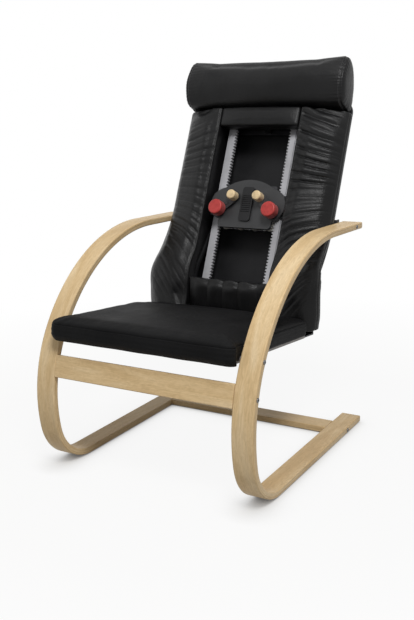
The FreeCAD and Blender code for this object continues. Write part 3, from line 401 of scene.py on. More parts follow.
def stuff(piece, voxel, cap, hold, rounds=6, pressure=4.0, frames=20, firm=0.8):
    # even remesh, then cloth blown up from inside, where a point moves by cap times hold at most;
    # firm is how far the filling keeps the cover from falling in; then one subdivision
    remesh = piece.modifiers.new("even", "REMESH")
    remesh.mode = "VOXEL"
    remesh.voxel_size = voxel
    mesh = bake(piece)
    start = places(mesh)
    cloth = piece.modifiers.new("cover", "CLOTH")
    cloth.settings.use_pressure = True
    cloth.settings.uniform_pressure_force = pressure
    cloth.settings.effector_weights.gravity = 0.0
    cloth.settings.quality = 5
    cloth.point_cache.frame_start = 1
    cloth.point_cache.frame_end = frames
    for step in range(1, frames + 1):
        scene.frame_set(step)
    graph = bpy.context.evaluated_depsgraph_get()
    swollen = piece.evaluated_get(graph).to_mesh()
    shift = places(swollen) - start
    piece.evaluated_get(graph).to_mesh_clear()
    piece.modifiers.clear()
    facing = outward(mesh)
    inward = np.minimum((shift * facing).sum(1, keepdims=True), 0.0)
    shift = shift - firm * inward * facing
    size = np.maximum(np.linalg.norm(shift, axis=1), 1e-9)
    most = cap * hold(start)
    setPlaces(mesh, start + eased(mesh, shift * np.minimum(1.0, most / size)[:, None], rounds))
    scene.frame_set(1)
    finer = piece.modifiers.new("finer", "SUBSURF")
    finer.levels = finer.render_levels = 1
    mesh = bake(piece)
    mesh.polygons.foreach_set("use_smooth", np.ones(len(mesh.polygons), bool))
    return mesh


def smooth(value, low, high):
    t = np.clip((value - low) / (high - low), 0.0, 1.0)
    return t * t * (3 - 2 * t)


def groove(distance, width):
    # a rounded valley, 1 on the line and 0 beyond width
    return np.exp(-(distance / width) ** 2)


def rumple(a, b, seed):
    # slow uneven waves from -1 to 1, a fixed sum of sines
    mix = np.random.default_rng(seed)
    turns = mix.uniform(-1, 1, (6, 2))
    starts = mix.uniform(0, 6.28, 6)
    return sum(np.sin(a * t[0] + b * t[1] + s) for t, s in zip(turns, starts)) / 6


stitch = dict(pitch=0.0056, long=0.0040, radius=0.00050, lift=0.0003)


def sewRow(name, piece, line, w):
    # a row of stitches on a piece, along a rough line: each is a bowed, round-ended thread on the nearest surface
    tree = BVHTree.FromObject(piece, bpy.context.evaluated_depsgraph_get())
    far = np.concatenate(((0.0,), np.cumsum(np.linalg.norm(np.diff(line, axis=0), axis=1))))
    at = np.arange(w["pitch"], far[-1] - w["pitch"], w["pitch"])
    rough = np.stack([np.interp(at, far, axis) for axis in line.T], -1)
    found = [tree.find_nearest(Vector(spot)) for spot in rough]
    spot = np.array([tuple(hit[0]) for hit in found])
    up = np.array([tuple(hit[1]) for hit in found])
    way = np.gradient(spot, axis=0)
    way = way - up * (way * up).sum(1, keepdims=True)
    way = way / np.linalg.norm(way, axis=1, keepdims=True)
    side = np.cross(way, up)
    s = np.linspace(-1, 1, 7)[None, :, None, None]
    turn = np.linspace(0, 2 * np.pi, 8, endpoint=False)[None, None, :, None]
    thin = w["radius"] * np.sqrt(np.clip(1 - s ** 6, 0.05, 1))
    rise = w["lift"] * (1 - s ** 2) + thin * np.cos(turn)
    spot, up, way, side = (part[:, None, None, :] for part in (spot, up, way, side))
    row = gridPiece(name, spot + way * s * w["long"] / 2 + up * rise + side * thin * np.sin(turn), "thread")
    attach(row, "frame")
    return row


# side frames: one bent strip each, runner, three arcs and arm
strip = dict(width=0.060, thick=0.018, outerX=0.330, runnerEnd=0.569, footRadius=0.1424, footTurn=78.4,
             frontRadius=0.3747, frontTurn=42.8, armRadius=0.5022, armTurn=60.3, armStraight=0.205, edge=0.0032,
             step=0.006)


def stripLine(w):
    turns = np.radians((w["footTurn"], w["frontTurn"], w["armTurn"]))
    radii = np.array((w["footRadius"], w["frontRadius"], w["armRadius"]))
    lengths = [w["runnerEnd"], *(radii * turns), w["armStraight"]]
    return walk(lengths, [0.0, *(1 / radii), 0.0], (w["runnerEnd"], 0.0), 0.0, w["step"])


def boardRows(length, ring, edge, step):
    # stations along a board and how far its section draws in at the rounded ends
    turn = np.radians(np.linspace(0, 90, 5))
    near = edge * (1 - np.cos(turn))
    draw = edge * (1 - np.sin(turn))
    inner = np.arange(near[-1] + step, length - near[-1] - step / 2, step)
    along = np.concatenate((near, inner, (length - near)[::-1]))
    inset = np.concatenate((draw, np.zeros(len(inner)), draw[::-1]))
    half = np.abs(ring).max(0)
    return along, ring[None] * (1 - inset[:, None, None] / half)


def makeSideFrame(name, side, w):
    # the rounded section carried along the strip's line, its depth measured inward from the outer face
    length, y, z, heads = stripLine(w)
    ring = roundedRing(w["width"], w["thick"], w["edge"])
    along, rings = boardRows(length[-1], ring, w["edge"], w["step"])
    head = np.interp(along, length, heads)[:, None]
    across = rings[:, :, 0]
    depth = rings[:, :, 1] + w["thick"] / 2
    px = side * (w["outerX"] - w["width"] / 2) + across
    py = np.interp(along, length, y)[:, None] + depth * np.sin(head)
    pz = np.interp(along, length, z)[:, None] + depth * np.cos(head)
    inWood = np.stack((np.repeat(along[:, None], ring.shape[0], 1) + side, px, depth), -1)
    piece = gridPiece(name, np.stack((px, py, pz), -1) + home, "birch", True, inWood)
    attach(piece, "frame")
    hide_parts("side_frame_left" if side < 0 else "side_frame_right")


makeSideFrame("sideFrameLeft", -1, strip)
makeSideFrame("sideFrameRight", 1, strip)


def onFrontArc(heading, depth):
    # a point of the strip's front arc at a heading, moved inward by depth
    length, y, z, heads = stripLine(strip)
    at = np.interp(math.radians(heading), heads, length)
    turn = math.radians(heading)
    base = np.array((np.interp(at, length, y), np.interp(at, length, z)))
    return base + depth * np.array((math.sin(turn), math.cos(turn)))


# rails between the side frames
rails = dict(frontRail=dict(node="front_rail", heading=106.8, width=0.060),
             baseRail=dict(node="base_rail", heading=0.0, width=0.062, at=(0.461, 0.009)))
railShape = dict(edgeShare=0.8, endEdge=0.0008, step=0.01, grainFrom=3.0)


def makeRail(name, w):
    # the rounded section carried straight across, its width along the strip's heading
    half = strip["outerX"] - strip["width"]
    ring = roundedRing(w["width"], strip["thick"], strip["edge"] * railShape["edgeShare"])
    along, rings = boardRows(2 * half, ring, railShape["endEdge"], railShape["step"])
    middle = np.array(w.get("at", onFrontArc(w["heading"], strip["thick"] / 2)))
    turn = math.radians(w["heading"])
    wide = np.array((-math.cos(turn), math.sin(turn)))
    deep = np.array((math.sin(turn), math.cos(turn)))
    yz = middle + rings[:, :, :1] * wide + rings[:, :, 1:] * deep
    px = np.repeat((along - half)[:, None], ring.shape[0], 1)
    inWood = np.stack((px + railShape["grainFrom"], rings[:, :, 0], rings[:, :, 1] + strip["thick"] / 2), -1)
    piece = gridPiece(name, np.concatenate((px[:, :, None], yz), -1) + home, "birch", True, inWood)
    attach(piece, "frame")
    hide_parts(w["node"])


for railName, railSizes in rails.items():
    makeRail(railName, railSizes)
print("bentwood made")

# seat: a stuffed top over a sewn band that hangs round the seat frame
seat = dict(slope=5.7, boltHeading=121.0, half=0.2682, front=-0.060, rear=0.400, seamUp=0.0325, crown=0.006,
            corner=0.024, cheek=0.009, fall=0.010, bandLow=-0.0035, lip=-0.013, floorUp=0.0212, voxel=0.0055,
            cap=0.008, noseRun=0.2, fallRun=0.13, topHigh=0.04, tuck=0.012, bandThick=0.0056, bulge=0.0016,
            ripple=0.0005, slack=0.0008,
            ringInset=(0.14, 0.06, 0.016, 0.010, 0.004, 0.001, 0.0015, 0.005, 0.011, 0.020, 0.040, 0.070, 0.110,
                       0.150),
            ringUp=(0.0, 0.0, 0.0, 0.004, 0.009, 0.0125, 0.0165, 0.0205, 0.0230, 0.0245, 0.0252, 0.0255, 0.0255,
                    0.0255), widestRing=5)


def seatToFrame(points):
    # from the seat's own level frame onto the seat bolt, tipped rearward
    bolt = onFrontArc(seat["boltHeading"], strip["thick"] / 2)
    turn = math.radians(-seat["slope"])
    x, v, up = points[..., 0], points[..., 1], points[..., 2]
    y = bolt[0] + v * math.cos(turn) - up * math.sin(turn)
    z = bolt[1] + v * math.sin(turn) + up * math.cos(turn)
    return np.stack((x, y, z), -1) + home


def seatFromFrame(points):
    bolt = onFrontArc(seat["boltHeading"], strip["thick"] / 2)
    turn = math.radians(-seat["slope"])
    moved = points - home - np.array((0.0, bolt[0], bolt[1]))
    v = moved[..., 1] * math.cos(turn) + moved[..., 2] * math.sin(turn)
    up = -moved[..., 1] * math.sin(turn) + moved[..., 2] * math.cos(turn)
    return np.stack((moved[..., 0], v, up), -1)


def seatOutline(w, inset, flat=56, bend=14):
    # a rectangle with rounded corners round the seat; inset draws it in evenly, row by row
    inset = np.atleast_1d(inset)[:, None]
    radius = np.maximum(w["corner"] - inset, w["corner"] * 0.3)
    wide = w["half"] - inset - radius
    deep = (w["rear"] - w["front"]) / 2 - inset - radius
    quarter = [np.concatenate((np.full(flat, 90.0 * k), np.linspace(90 * k, 90 * k + 90, bend)[1:-1]))
               for k in range(4)]
    turn = np.radians(np.concatenate(quarter))[None, :]
    slide = np.concatenate((np.linspace(-1, 1, flat), np.ones(bend - 2)))
    signX = np.concatenate((np.ones_like(slide), -slide, -np.ones_like(slide), slide))[None, :]
    signV = np.concatenate((slide, np.ones_like(slide), -slide, -np.ones_like(slide)))[None, :]
    x = signX * wide + radius * np.cos(turn)
    v = signV * deep + radius * np.sin(turn) + (w["rear"] + w["front"]) / 2
    # ahead of the side frames the cover bulges out to the sides
    cheek = w["cheek"] * smooth(-v, 0.022, 0.042) * smooth(np.abs(x), 0.20, 0.25)
    return x + np.sign(x) * cheek, v


def makeSeatTop(w):
    # rings from under the top, round its edge and in towards the middle;
    # those above the widest are lifted by a crown that falls off at the rear
    up = np.array(w["ringUp"])
    x, v = seatOutline(w, np.array(w["ringInset"]))
    lift = np.repeat((up + w["floorUp"])[:, None], x.shape[1], 1)
    top = np.repeat((np.arange(len(up)) > w["widestRing"])[:, None], x.shape[1], 1)
    rise = w["crown"] * (1 - (x / w["half"]) ** 2) * smooth(v, w["front"], w["front"] + w["noseRun"])
    fall = w["fall"] * smooth(v, w["rear"] - w["fallRun"], w["rear"]) ** 1.3
    lift = lift + np.where(top, rise - fall * (lift - w["floorUp"]) / w["topHigh"], 0.0)
    piece = gridPiece("seatTop", seatToFrame(np.stack((x, v, lift), -1)), "seatLeather")

    def hold(points):
        own = seatFromFrame(points)
        level = smooth(own[:, 2], w["floorUp"] + 0.013, w["floorUp"] + 0.024)
        return level * (1 - 0.7 * smooth(own[:, 1], 0.27, 0.33))

    mesh = stuff(piece, w["voxel"], w["cap"], hold)
    points = places(mesh)
    own = seatFromFrame(points)
    x, v, up = own[:, 0], own[:, 1], own[:, 2]
    # soft dips where the cover is drawn down at the corners, and long faint folds over the nose
    face = smooth(up, w["floorUp"] + 0.004, w["floorUp"] + 0.016)
    folds = rumple(x * 55, v * 40, 3) * 0.0006 + rumple(x * 130, v * 26, 5) * 0.0004
    corner = smooth(np.abs(x), 0.17, w["half"]) * smooth(-v, -0.05, 0.05)
    folds += corner * np.sin((np.abs(x) + v) * 210) * 0.0007
    setPlaces(mesh, points + outward(mesh) * (folds * face)[:, None])
    return piece


def makeSeatBand(w):
    # an open band's section, outer face bulged and turned under, carried round the outline as a closed loop
    q = np.linspace(0, 1, 15)
    outer = w["bulge"] * (2 * q - 1) ** 4 + w["ripple"] * np.cos(q * 22)
    inner = np.full(len(q), w["bandThick"])
    inset = np.concatenate((outer, inner[::-1]))
    level = np.concatenate((q, q[::-1]))
    x, v = seatOutline(w, inset)
    nose = smooth(-v, 0.030, 0.046)  # 1 along the front, where the band hangs lower and turns under
    low = w["bandLow"] * (1 - nose) + w["lip"] * nose
    up = low + (w["seamUp"] - low) * level[:, None]
    v = v + w["tuck"] * nose * smooth(-up, -0.010, 0.013) ** 2
    ring = np.stack((x, v, up), -1).transpose(1, 0, 2)
    piece = gridPiece("seatBand", seatToFrame(np.concatenate((ring, ring[:1]))), "seatLeather", False)
    finer = piece.modifiers.new("finer", "SUBSURF")
    finer.levels = finer.render_levels = 1
    mesh = bake(piece)
    points = places(mesh)
    own = seatFromFrame(points)
    folds = rumple(own[:, 0] * 60 + own[:, 1] * 60, own[:, 2] * 90, 11) * w["slack"]
    setPlaces(mesh, points + outward(mesh) * folds[:, None])
    return piece


for seatPiece, fill in ((makeSeatTop(seat), 0.8), (makeSeatBand(seat), 0.9)):
    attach(seatPiece, "frame")
    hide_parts("seat_cushion")
print("seat stuffed")

# back: two side pads, a top and a bottom panel between them, all along one edge line
back = dict(half=0.2685, bottom=0.337, frontY=0.331, uprightTop=0.430, lumbarRadius=0.130, lumbarLean=45.0,
            lumbarStraight=0.026, shoulderRadius=0.430, lean=24.0, rearDepth=0.0375, seamHalf=0.131,
            seamCrown=0.036, seamBlend=0.005, lowerCrown=0.008, unitZ=0.664, rollUp=0.297, rollGap=0.0004,
            edgeDeep=0.018, edgeFrom=0.74, swell=0.006, innerEdge=0.004, sideRoom=0.0012, seamRoom=0.0008,
            belly=0.012, stitchIn=0.0065, seamDeep=0.0016, sewnDeep=0.0014, grooveWide=0.0016, voxel=0.0045,
            cap=0.009)
leanTurn = math.radians(back["lean"])
leanFront = np.array((-math.cos(leanTurn), math.sin(leanTurn)))
leanUp = np.array((math.sin(leanTurn), math.cos(leanTurn)))


def backLine(w, step=0.006):
    # upright, bent rearward, short straight, bent forward again, then straight to the roll
    drop = math.radians(w["lumbarLean"])
    rise = math.radians(w["lumbarLean"] - w["lean"])
    lengths = [w["uprightTop"] - w["bottom"], w["lumbarRadius"] * drop, w["lumbarStraight"],
               w["shoulderRadius"] * rise]
    bends = [0.0, 1 / w["lumbarRadius"], 0.0, -1 / w["shoulderRadius"]]
    start = (w["frontY"], w["bottom"])
    length, y, z, heads = walk(lengths, bends, start, 90.0, step)
    unit = np.array((y[-1] + (w["unitZ"] - z[-1]) * math.tan(leanTurn), w["unitZ"]))
    last = w["rollUp"] - w["rollGap"] - (z[-1] - w["unitZ"]) / math.cos(leanTurn)
    length, y, z, heads = walk(lengths + [last], bends + [0.0], start, 90.0, step)
    return length, np.stack((y, z), -1), heads - math.pi / 2, unit


lineLength, linePlace, lineLean, unitPlace = backLine(back)
lineTilt = leanTurn * smooth(lineLength, 0.10, 0.42)  # sections turn from level at the bottom to square at the top
lineFront = np.stack((-np.cos(lineTilt), np.sin(lineTilt)), -1)
planeFront = (linePlace - unitPlace) @ leanFront
seamWanted = (back["seamCrown"] - planeFront) / (lineFront @ leanFront)
overLower = np.logaddexp(0, (seamWanted - back["lowerCrown"]) / back["seamBlend"])
lineSeam = back["lowerCrown"] + overLower * back["seamBlend"]


def alongBack(points):
    # for each point: length along the edge line and height in front of it
    yz = (points - home)[:, 1:]
    ahead = np.stack((np.sin(lineLean), np.cos(lineLean)), -1)
    gap = ((yz[:, None, :] - linePlace[None]) * ahead[None]).sum(2)
    nearest = np.abs(gap + 1e-3 * np.abs(yz[:, None, 1] - linePlace[None, :, 1])).argmin(1)
    height = ((yz - linePlace[nearest]) * lineFront[nearest]).sum(1)
    return lineLength[nearest] + gap[np.arange(len(yz)), nearest], height


def backRows(x, height):
    # section points given by x and height in front of the edge line, one row for each step of the line
    yz = linePlace[:, None, :] + height[:, :, None] * lineFront[:, None, :]
    return np.concatenate((x[:, :, None], yz), -1) + home


# sets of gathers as pitch, depth and a mark that tells their waves apart
gather = dict(sets=((64.0, 0.0056, 1), (108.0, 0.0060, 2), (190.0, 0.0012, 3)), start=-1.35, turn=1.8, bow=2.2,
              wander=0.010, sharp=1.7, leftSeed=7.0, leftShare=0.36)


def fanFolds(length, out, right, w):
    # gathers that fan out from the inner seam: steep at the bottom, level at mid height, falling a little at
    # the top; each set fades in and out along its own slow waves
    seed = np.where(right, 0.0, w["leftSeed"])
    steep = w["start"] + w["turn"] * smooth(length, 0.08, 0.60) + w["bow"] * out * (0.5 - smooth(length, 0.1, 0.6))
    lead = length + steep * out + w["wander"] * rumple(length * 17 + seed, out * 26, 21)
    total = 0.0
    for pitch, deep, mark in w["sets"]:
        drift = rumple(length * 9 * mark, out * 9 * mark, 30 + mark) * 2.6
        wave = np.abs(np.sin(lead * pitch + mark * 1.7 + seed + drift))
        strong = np.clip(rumple(length * 20 * mark + seed, out * 16, 40 + mark) * 1.9 + 0.72, 0.12, 1)
        total = total + (1 - wave) ** w["sharp"] * deep * strong
    reach = smooth(out, 0.001, 0.014) * (1 - 0.90 * smooth(out, 0.100, 0.138)) * smooth(length, 0.02, 0.16)
    return -total * reach * np.where(right, 1.0, w["leftShare"])


def makeSidePad(name, side, w):
    # a closed section, higher at the inner seam than at the rounded outer edge, carried along the edge line
    q = np.sin(np.linspace(0, 1, 30) * np.pi / 2)
    span = w["half"] - w["seamHalf"] - w["sideRoom"]
    frontX = q * span
    late = np.clip((q - w["edgeFrom"]) / (1 - w["edgeFrom"]), 0, 1)
    roll = w["edgeDeep"] * (1 - np.sqrt(np.clip(1 - late ** 2, 0, 1)))
    swell = w["swell"] * np.sin(np.pi * q ** 0.8)
    inEdge = w["innerEdge"] * np.clip(1 - q / 0.05, 0, 1) ** 2
    low = np.linspace(0, 1, 9)[1:]
    frontHeight = lineSeam[:, None] * (1 - q ** 1.15) + swell - roll - inEdge
    sideHeight = -w["edgeDeep"] - (w["rearDepth"] - w["edgeDeep"]) * low[None] + 0 * lineSeam[:, None]
    sideX = span + w["sideRoom"] * np.sin(np.pi * low)
    rearX = span * np.linspace(1, 0, 14)[1:]
    rearHeight = np.full((len(lineLength), 13), -w["rearDepth"])
    inner = lineSeam[:, None] - w["innerEdge"] + w["rearDepth"]
    upHeight = -w["rearDepth"] + inner * np.linspace(0, 1, 8)[1:-1][None]
    height = np.concatenate((frontHeight, sideHeight, rearHeight, upHeight), 1)
    across = np.concatenate((frontX, sideX, rearX, np.zeros(6)))
    # fuller low down, below the arms
    belly = w["belly"] * smooth(lineLength, -0.05, 0.05) * (1 - smooth(lineLength, 0.12, 0.21))
    fuller = belly[:, None] * smooth(across, 0.06, span)[None]
    x = side * (w["seamHalf"] + w["seamRoom"] + across[None] + fuller)
    points = backRows(x, height)
    piece = gridPiece(name, points, "leather")

    def hold(spots):
        length, height = alongBack(spots)
        out = np.abs(spots[:, 0]) - w["seamHalf"]
        ends = smooth(length, 0.0, 0.03) * (1 - 0.9 * smooth(length, lineLength[-1] - 0.04, lineLength[-1]))
        edges = smooth(height, -0.034, -0.016) * smooth(out, 0.002, 0.03)
        return edges * ends * (1 - 0.75 * smooth(out, 0.10, 0.137))

    mesh = stuff(piece, w["voxel"], w["cap"], hold)
    points = places(mesh)
    length, height = alongBack(points)
    out = np.abs(points[:, 0]) - w["seamHalf"]
    face = smooth(height, -0.020, -0.004)
    shift = fanFolds(length, out, points[:, 0] > 0, gather) * face
    # the seam round the outer edge, and the topstitched line beside the inner seam
    shift -= w["seamDeep"] * groove(height + 0.016, w["grooveWide"]) * smooth(out, 0.115, 0.130)
    shift -= w["sewnDeep"] * groove(out - w["stitchIn"], w["grooveWide"]) * face
    setPlaces(mesh, points + outward(mesh) * shift[:, None])
    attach(piece, "frame")
    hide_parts("bolster_left" if side < 0 else "bolster_right")
    return piece


for padName, padSide in (("Left", -1), ("Right", 1)):
    pad = makeSidePad("sidePad" + padName, padSide, back)
    inFront = (lineSeam + 0.02)[1:-1, None] * lineFront[1:-1]
    seamX = np.full((len(inFront), 1), padSide * (back["seamHalf"] + back["stitchIn"]))
    sewRow("padStitches" + padName, pad, np.concatenate((seamX, linePlace[1:-1] + inFront), 1) + home, stitch)
print("side pads gathered")

lowerPanel = dict(half=0.1302, topUp=-0.239, crown=0.008, rise=0.005, edge=0.003, foldHigh=0.0095, foldShare=0.30,
                  flare=0.35, wander=0.016, sharp=1.3, slack=0.0006, voxel=0.0045, cap=0.006)


def makeLowerPanel(w):
    # the edge line's front raised by a crown across, up to the window, with upright folds that open to the seat
    upTo = unitPlace + w["topUp"] * leanUp
    q = np.linspace(-1, 1, 30)
    edge = w["edge"] * np.clip((np.abs(q) - 0.94) / 0.06, 0, 1) ** 2
    front = w["crown"] - w["rise"] * q ** 2 - edge
    rear = np.full(len(q), -back["rearDepth"])
    height = np.concatenate((front, rear))
    x = np.concatenate((q, q[::-1])) * w["half"]
    over = (linePlace[:, None, :] + height[None, :, None] * lineFront[:, None, :] - upTo) @ leanUp
    points = backRows(np.repeat(x[None], len(lineLength), 0), np.repeat(height[None], len(lineLength), 0))
    excess = np.maximum(over, 0)[:, :, None] * leanUp
    points = points - np.concatenate((np.zeros(over.shape + (1,)), excess), -1)
    last = int((over.min(1) < 0).sum())
    piece = gridPiece("lowerPanel", points[: last + 1], "leather")

    def hold(spots):
        length, height = alongBack(spots)
        ends = 1 - smooth(np.abs(spots[:, 0]), w["half"] - 0.03, w["half"] - 0.002)
        return smooth(height, -0.02, 0.0) * ends

    mesh = stuff(piece, w["voxel"], w["cap"], hold)
    points = places(mesh)
    length, height = alongBack(points)
    x = points[:, 0]
    face = smooth(height, -0.012, 0.002) * (1 - smooth(np.abs(x), w["half"] - 0.02, w["half"]))
    flare = 1 + w["flare"] * (1 - smooth(length, 0.08, 0.24))
    lead = x / flare + w["wander"] * rumple(length * 9, x * 21, 31)
    ridge = 1 - np.abs(np.sin(lead * 58 + 0.5 + 1.3 * np.sin(lead * 23)))
    uneven = np.clip(0.75 + 0.9 * rumple(length * 6, x * 30, 35), 0.15, 1.2)
    share = w["foldShare"] + (1 - w["foldShare"]) * (1 - smooth(length, 0.10, 0.25))
    deep = w["foldHigh"] * share * uneven
    shift = -ridge ** w["sharp"] * deep * face - w["slack"] * face * rumple(x * 90, length * 50, 33)
    setPlaces(mesh, points + outward(mesh) * shift[:, None])
    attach(piece, "frame")
    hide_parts("centre_panel_bottom")
    return piece


makeLowerPanel(lowerPanel)


def unitToFrame(x, up, front):
    # from the back's own frame, up the slope and out to the front
    yz = unitPlace + up[..., None] * leanUp + front[..., None] * leanFront
    return np.concatenate((x[..., None], yz), -1) + home


def unitFromFrame(points):
    yz = (points - home)[:, 1:] - unitPlace
    return points[:, 0], yz @ leanUp, yz @ leanFront


upperPanel = dict(half=0.1302, low=0.2385, high=0.2965, rear=-0.0058, front=0.0355, rise=0.005, corner=0.006,
                  edge=0.004, slack=0.0006, voxel=0.004, cap=0.004)


def makeUpperPanel(w):
    # a rounded section of unit depth, carried across and set to the depth there, which is most in the middle
    ring = roundedRing(w["high"] - w["low"], 1.0, w["corner"])
    q = np.linspace(-1, 1, 40)[:, None]
    up = (w["low"] + w["high"]) / 2 + ring[None, :, 0] + 0 * q
    deep = (w["front"] + w["rise"] * (1 - q ** 2) - w["rear"]) / 2
    side = np.sign(ring[None, :, 1])
    inCorner = np.clip(np.abs(ring[None, :, 1]) - (0.5 - w["corner"]), 0, w["corner"])
    front = (w["rear"] + deep) + side * (deep - w["corner"] + inCorner)
    edge = np.clip((np.abs(q) - 0.97) / 0.03, 0, 1) ** 2
    front = front - np.where(side > 0, w["edge"] * edge, 0)
    piece = gridPiece("upperPanel", unitToFrame(q * w["half"] + 0 * up, up, front), "leather")

    def hold(spots):
        x, up, front = unitFromFrame(spots)
        return smooth(front, 0.0, 0.02) * (1 - smooth(np.abs(x), w["half"] - 0.03, w["half"] - 0.002))

    mesh = stuff(piece, w["voxel"], w["cap"], hold)
    points = places(mesh)
    x, up, front = unitFromFrame(points)
    shift = rumple(x * 60, up * 50, 41) * w["slack"] * smooth(front, 0.02, 0.034)
    setPlaces(mesh, points + outward(mesh) * shift[:, None])
    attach(piece, "frame")
    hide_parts("centre_panel_top")


makeUpperPanel(upperPanel)
print("centre panels made")

headRoll = dict(half=0.2675, middle=(0.370, 0.018), seamIn=0.015, seamDeep=0.0022, stitchIn=0.005, pucker=0.0012,
                puckerRun=0.022, slack=(0.0012, 0.0005), endSize=0.015, ears=0.003, voxel=0.005, cap=0.009,
                section=((0.304, -0.034), (0.300, 0.006), (0.311, 0.044), (0.368, 0.069), (0.428, 0.056),
                         (0.441, 0.034), (0.425, 0.005), (0.378, -0.024)))


def closedCurve(points, each):
    # a smooth closed line through the points, by cubic pieces that keep each point's tangent
    p = np.array(points)
    before, after, second = np.roll(p, 1, 0), np.roll(p, -1, 0), np.roll(p, -2, 0)
    t = np.linspace(0, 1, each, endpoint=False)[None, :, None]
    a, b, c, d = before[:, None], p[:, None], after[:, None], second[:, None]
    square, cube = 2 * a - 5 * b + 4 * c - d, 3 * b - a - 3 * c + d
    return (0.5 * (2 * b + (c - a) * t + square * t ** 2 + cube * t ** 3)).reshape(-1, 2)


def makeHeadRoll(w):
    # the roll's section carried across and drawn in towards its middle line at both ends
    section = closedCurve(w["section"], 12)
    q = np.sin(np.linspace(-1, 1, 90) * np.pi / 2)[:, None]
    size = (1 - np.abs(q) ** 56) ** (1 / 3) * (1 - w["endSize"]) + w["endSize"]
    up = w["middle"][0] + (section[None, :, 0] - w["middle"][0]) * size
    up = up + w["ears"] * smooth(np.abs(q), 0.55, 0.97) * size * smooth(up, 0.40, 0.44)
    front = w["middle"][1] + (section[None, :, 1] - w["middle"][1]) * size
    piece = gridPiece("headRoll", unitToFrame(q * w["half"] + 0 * up, up, front), "leather")

    def hold(spots):
        x, up, front = unitFromFrame(spots)
        ahead = 0.35 + 0.65 * smooth(front, -0.02, 0.03)
        return ahead * smooth(up, 0.300, 0.325) * (1 - 0.6 * smooth(np.abs(x), 0.22, 0.26))

    mesh = stuff(piece, w["voxel"], w["cap"], hold)
    points = places(mesh)
    x, up, front = unitFromFrame(points)
    turn = np.arctan2(front - w["middle"][1], up - w["middle"][0])
    fromSeam = w["half"] - w["seamIn"] - np.abs(x)
    rays = np.abs(np.sin(turn * 17 + rumple(turn * 4, x * 20, 51) * 3)) - 0.6
    pucker = np.exp(-np.abs(fromSeam) / w["puckerRun"]) * rays
    shift = pucker * w["pucker"] - w["seamDeep"] * groove(fromSeam, w["seamDeep"])
    shift += rumple(x * 34, turn * 3, 52) * w["slack"][0] + rumple(x * 80, turn * 6, 53) * w["slack"][1]
    setPlaces(mesh, points + outward(mesh) * shift[:, None])
    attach(piece, "frame")
    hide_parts("headrest_roll")
    return piece


roll = makeHeadRoll(headRoll)
rollRing = closedCurve(headRoll["section"], 12)
for endName, endSide in (("Left", -1), ("Right", 1)):
    endX = np.full(len(rollRing), endSide * (headRoll["half"] - headRoll["seamIn"] - headRoll["stitchIn"]))
    sewRow("rollStitches" + endName, roll, unitToFrame(endX, rollRing[:, 0], rollRing[:, 1]), stitch)
print("head roll stuffed")

# floor, light and white surroundings
studio = dict(floorSize=14.0, floorColour=(0.52, 0.51, 0.49, 1.0), ambient=0.25, clear=(0.75, 1.9), nearShare=0.92,
              contactShadeReach=0.09, openSky=0.95, aim=(0.0, 0.0, 0.45), key=(92.0, 1.0, (1.4, -1.7, 3.4)),
              fill=(7.0, 2.0, (-2.5, -1.5, 1.9)), top=(9.0, 2.0, (0.1, -0.7, 3.4)))


def raySeen(tree):
    # 1 for rays from the camera, off a gloss or through glass, which see the white surroundings
    path = put(tree, "LightPath", {})
    seen = calc(tree, "MAXIMUM", path.outputs["Is Camera Ray"], path.outputs["Is Glossy Ray"])
    return calc(tree, "MAXIMUM", seen, path.outputs["Is Transmission Ray"])


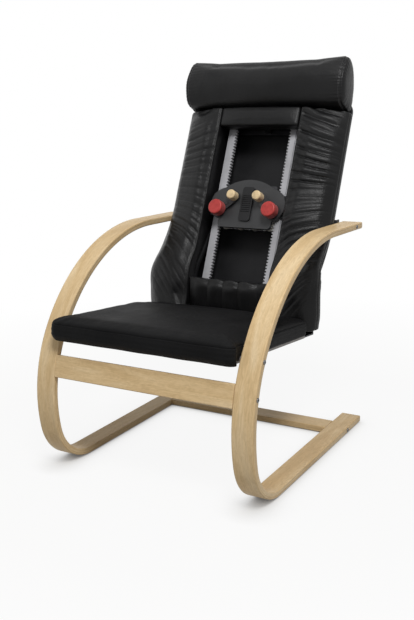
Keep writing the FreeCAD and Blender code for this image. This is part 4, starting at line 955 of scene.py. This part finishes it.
def makeFloor(w):
    # white to the eye, but near the chair the lit floor shows through, so the chair's real shadow shows there, and
    # an occlusion mask adds painted contact shade close under it; pale to the light
    mesh = bpy.data.meshes.new("studioFloor")
    h = w["floorSize"] / 2
    mesh.from_pydata([(-h, -h, 0), (h, -h, 0), (h, h, 0), (-h, h, 0)], [], [(0, 1, 2, 3)])
    mat, tree, skin = newFinish("paleFloor", Roughness=0.9, Specular_IOR_Level=0.1)
    skin.inputs["Base Color"].default_value = w["floorColour"]
    glow = put(tree, "Emission", {"Color": (1.0, 1.0, 1.0, 1.0), "Strength": 1.0})
    place = put(tree, "TexCoord", {}).outputs["Object"]
    away = put(tree, "VectorMath", {0: place}, operation="LENGTH").outputs["Value"]
    fade = put(tree, "MapRange", {"Value": away, "From Min": w["clear"][0], "From Max": w["clear"][1],
                                  "To Min": w["nearShare"], "To Max": 1.0}).outputs["Result"]
    # painted contact shade: ambient occlusion lowers the white share close to the chair, so the floor darkens
    # there whether or not light reaches it
    near = put(tree, "AmbientOcclusion", {"Distance": w["contactShadeReach"]}, samples=12).outputs["AO"]
    clear = put(tree, "MapRange", {"Value": near, "From Min": 0.0, "From Max": w["openSky"]}).outputs["Result"]
    share = calc(tree, "MULTIPLY", raySeen(tree), calc(tree, "MULTIPLY", fade, clear))
    both = put(tree, "MixShader", {0: share, 1: skin.outputs["BSDF"], 2: glow.outputs["Emission"]})
    out = [n for n in tree.nodes if n.type == "OUTPUT_MATERIAL"][0]
    tree.links.new(both.outputs[0], out.inputs["Surface"])
    mesh.materials.append(mat)
    floor = bpy.data.objects.new("studioFloor", mesh)
    scene.collection.objects.link(floor)


def makeLamp(name, power, size, place):
    # a square soft box aimed at the middle of the chair
    data = bpy.data.lights.new(name, "AREA")
    data.energy = power
    data.size = size
    lamp = bpy.data.objects.new(name, data)
    lamp.location = place
    lamp.rotation_euler = (Vector(studio["aim"]) - Vector(place)).to_track_quat("-Z", "Y").to_euler()
    scene.collection.objects.link(lamp)


def makeWorld(w):
    # soft all-round light on the chair, and plain white where it is seen
    world = bpy.data.worlds.new("whiteStudio")
    world.use_nodes = True
    tree = world.node_tree
    tree.nodes.clear()
    soft = put(tree, "Background", {"Color": (1.0, 1.0, 1.0, 1.0), "Strength": w["ambient"]})
    white = put(tree, "Background", {"Color": (1.0, 1.0, 1.0, 1.0), "Strength": 1.0})
    both = put(tree, "MixShader", {0: raySeen(tree), 1: soft.outputs[0], 2: white.outputs[0]})
    out = put(tree, "OutputWorld", {})
    tree.links.new(both.outputs[0], out.inputs["Surface"])
    scene.world = world


makeFloor(studio)
for lampName in ("key", "fill", "top"):
    makeLamp(lampName, *studio[lampName])
makeWorld(studio)
scene.view_settings.view_transform = "Standard"

print("ready")
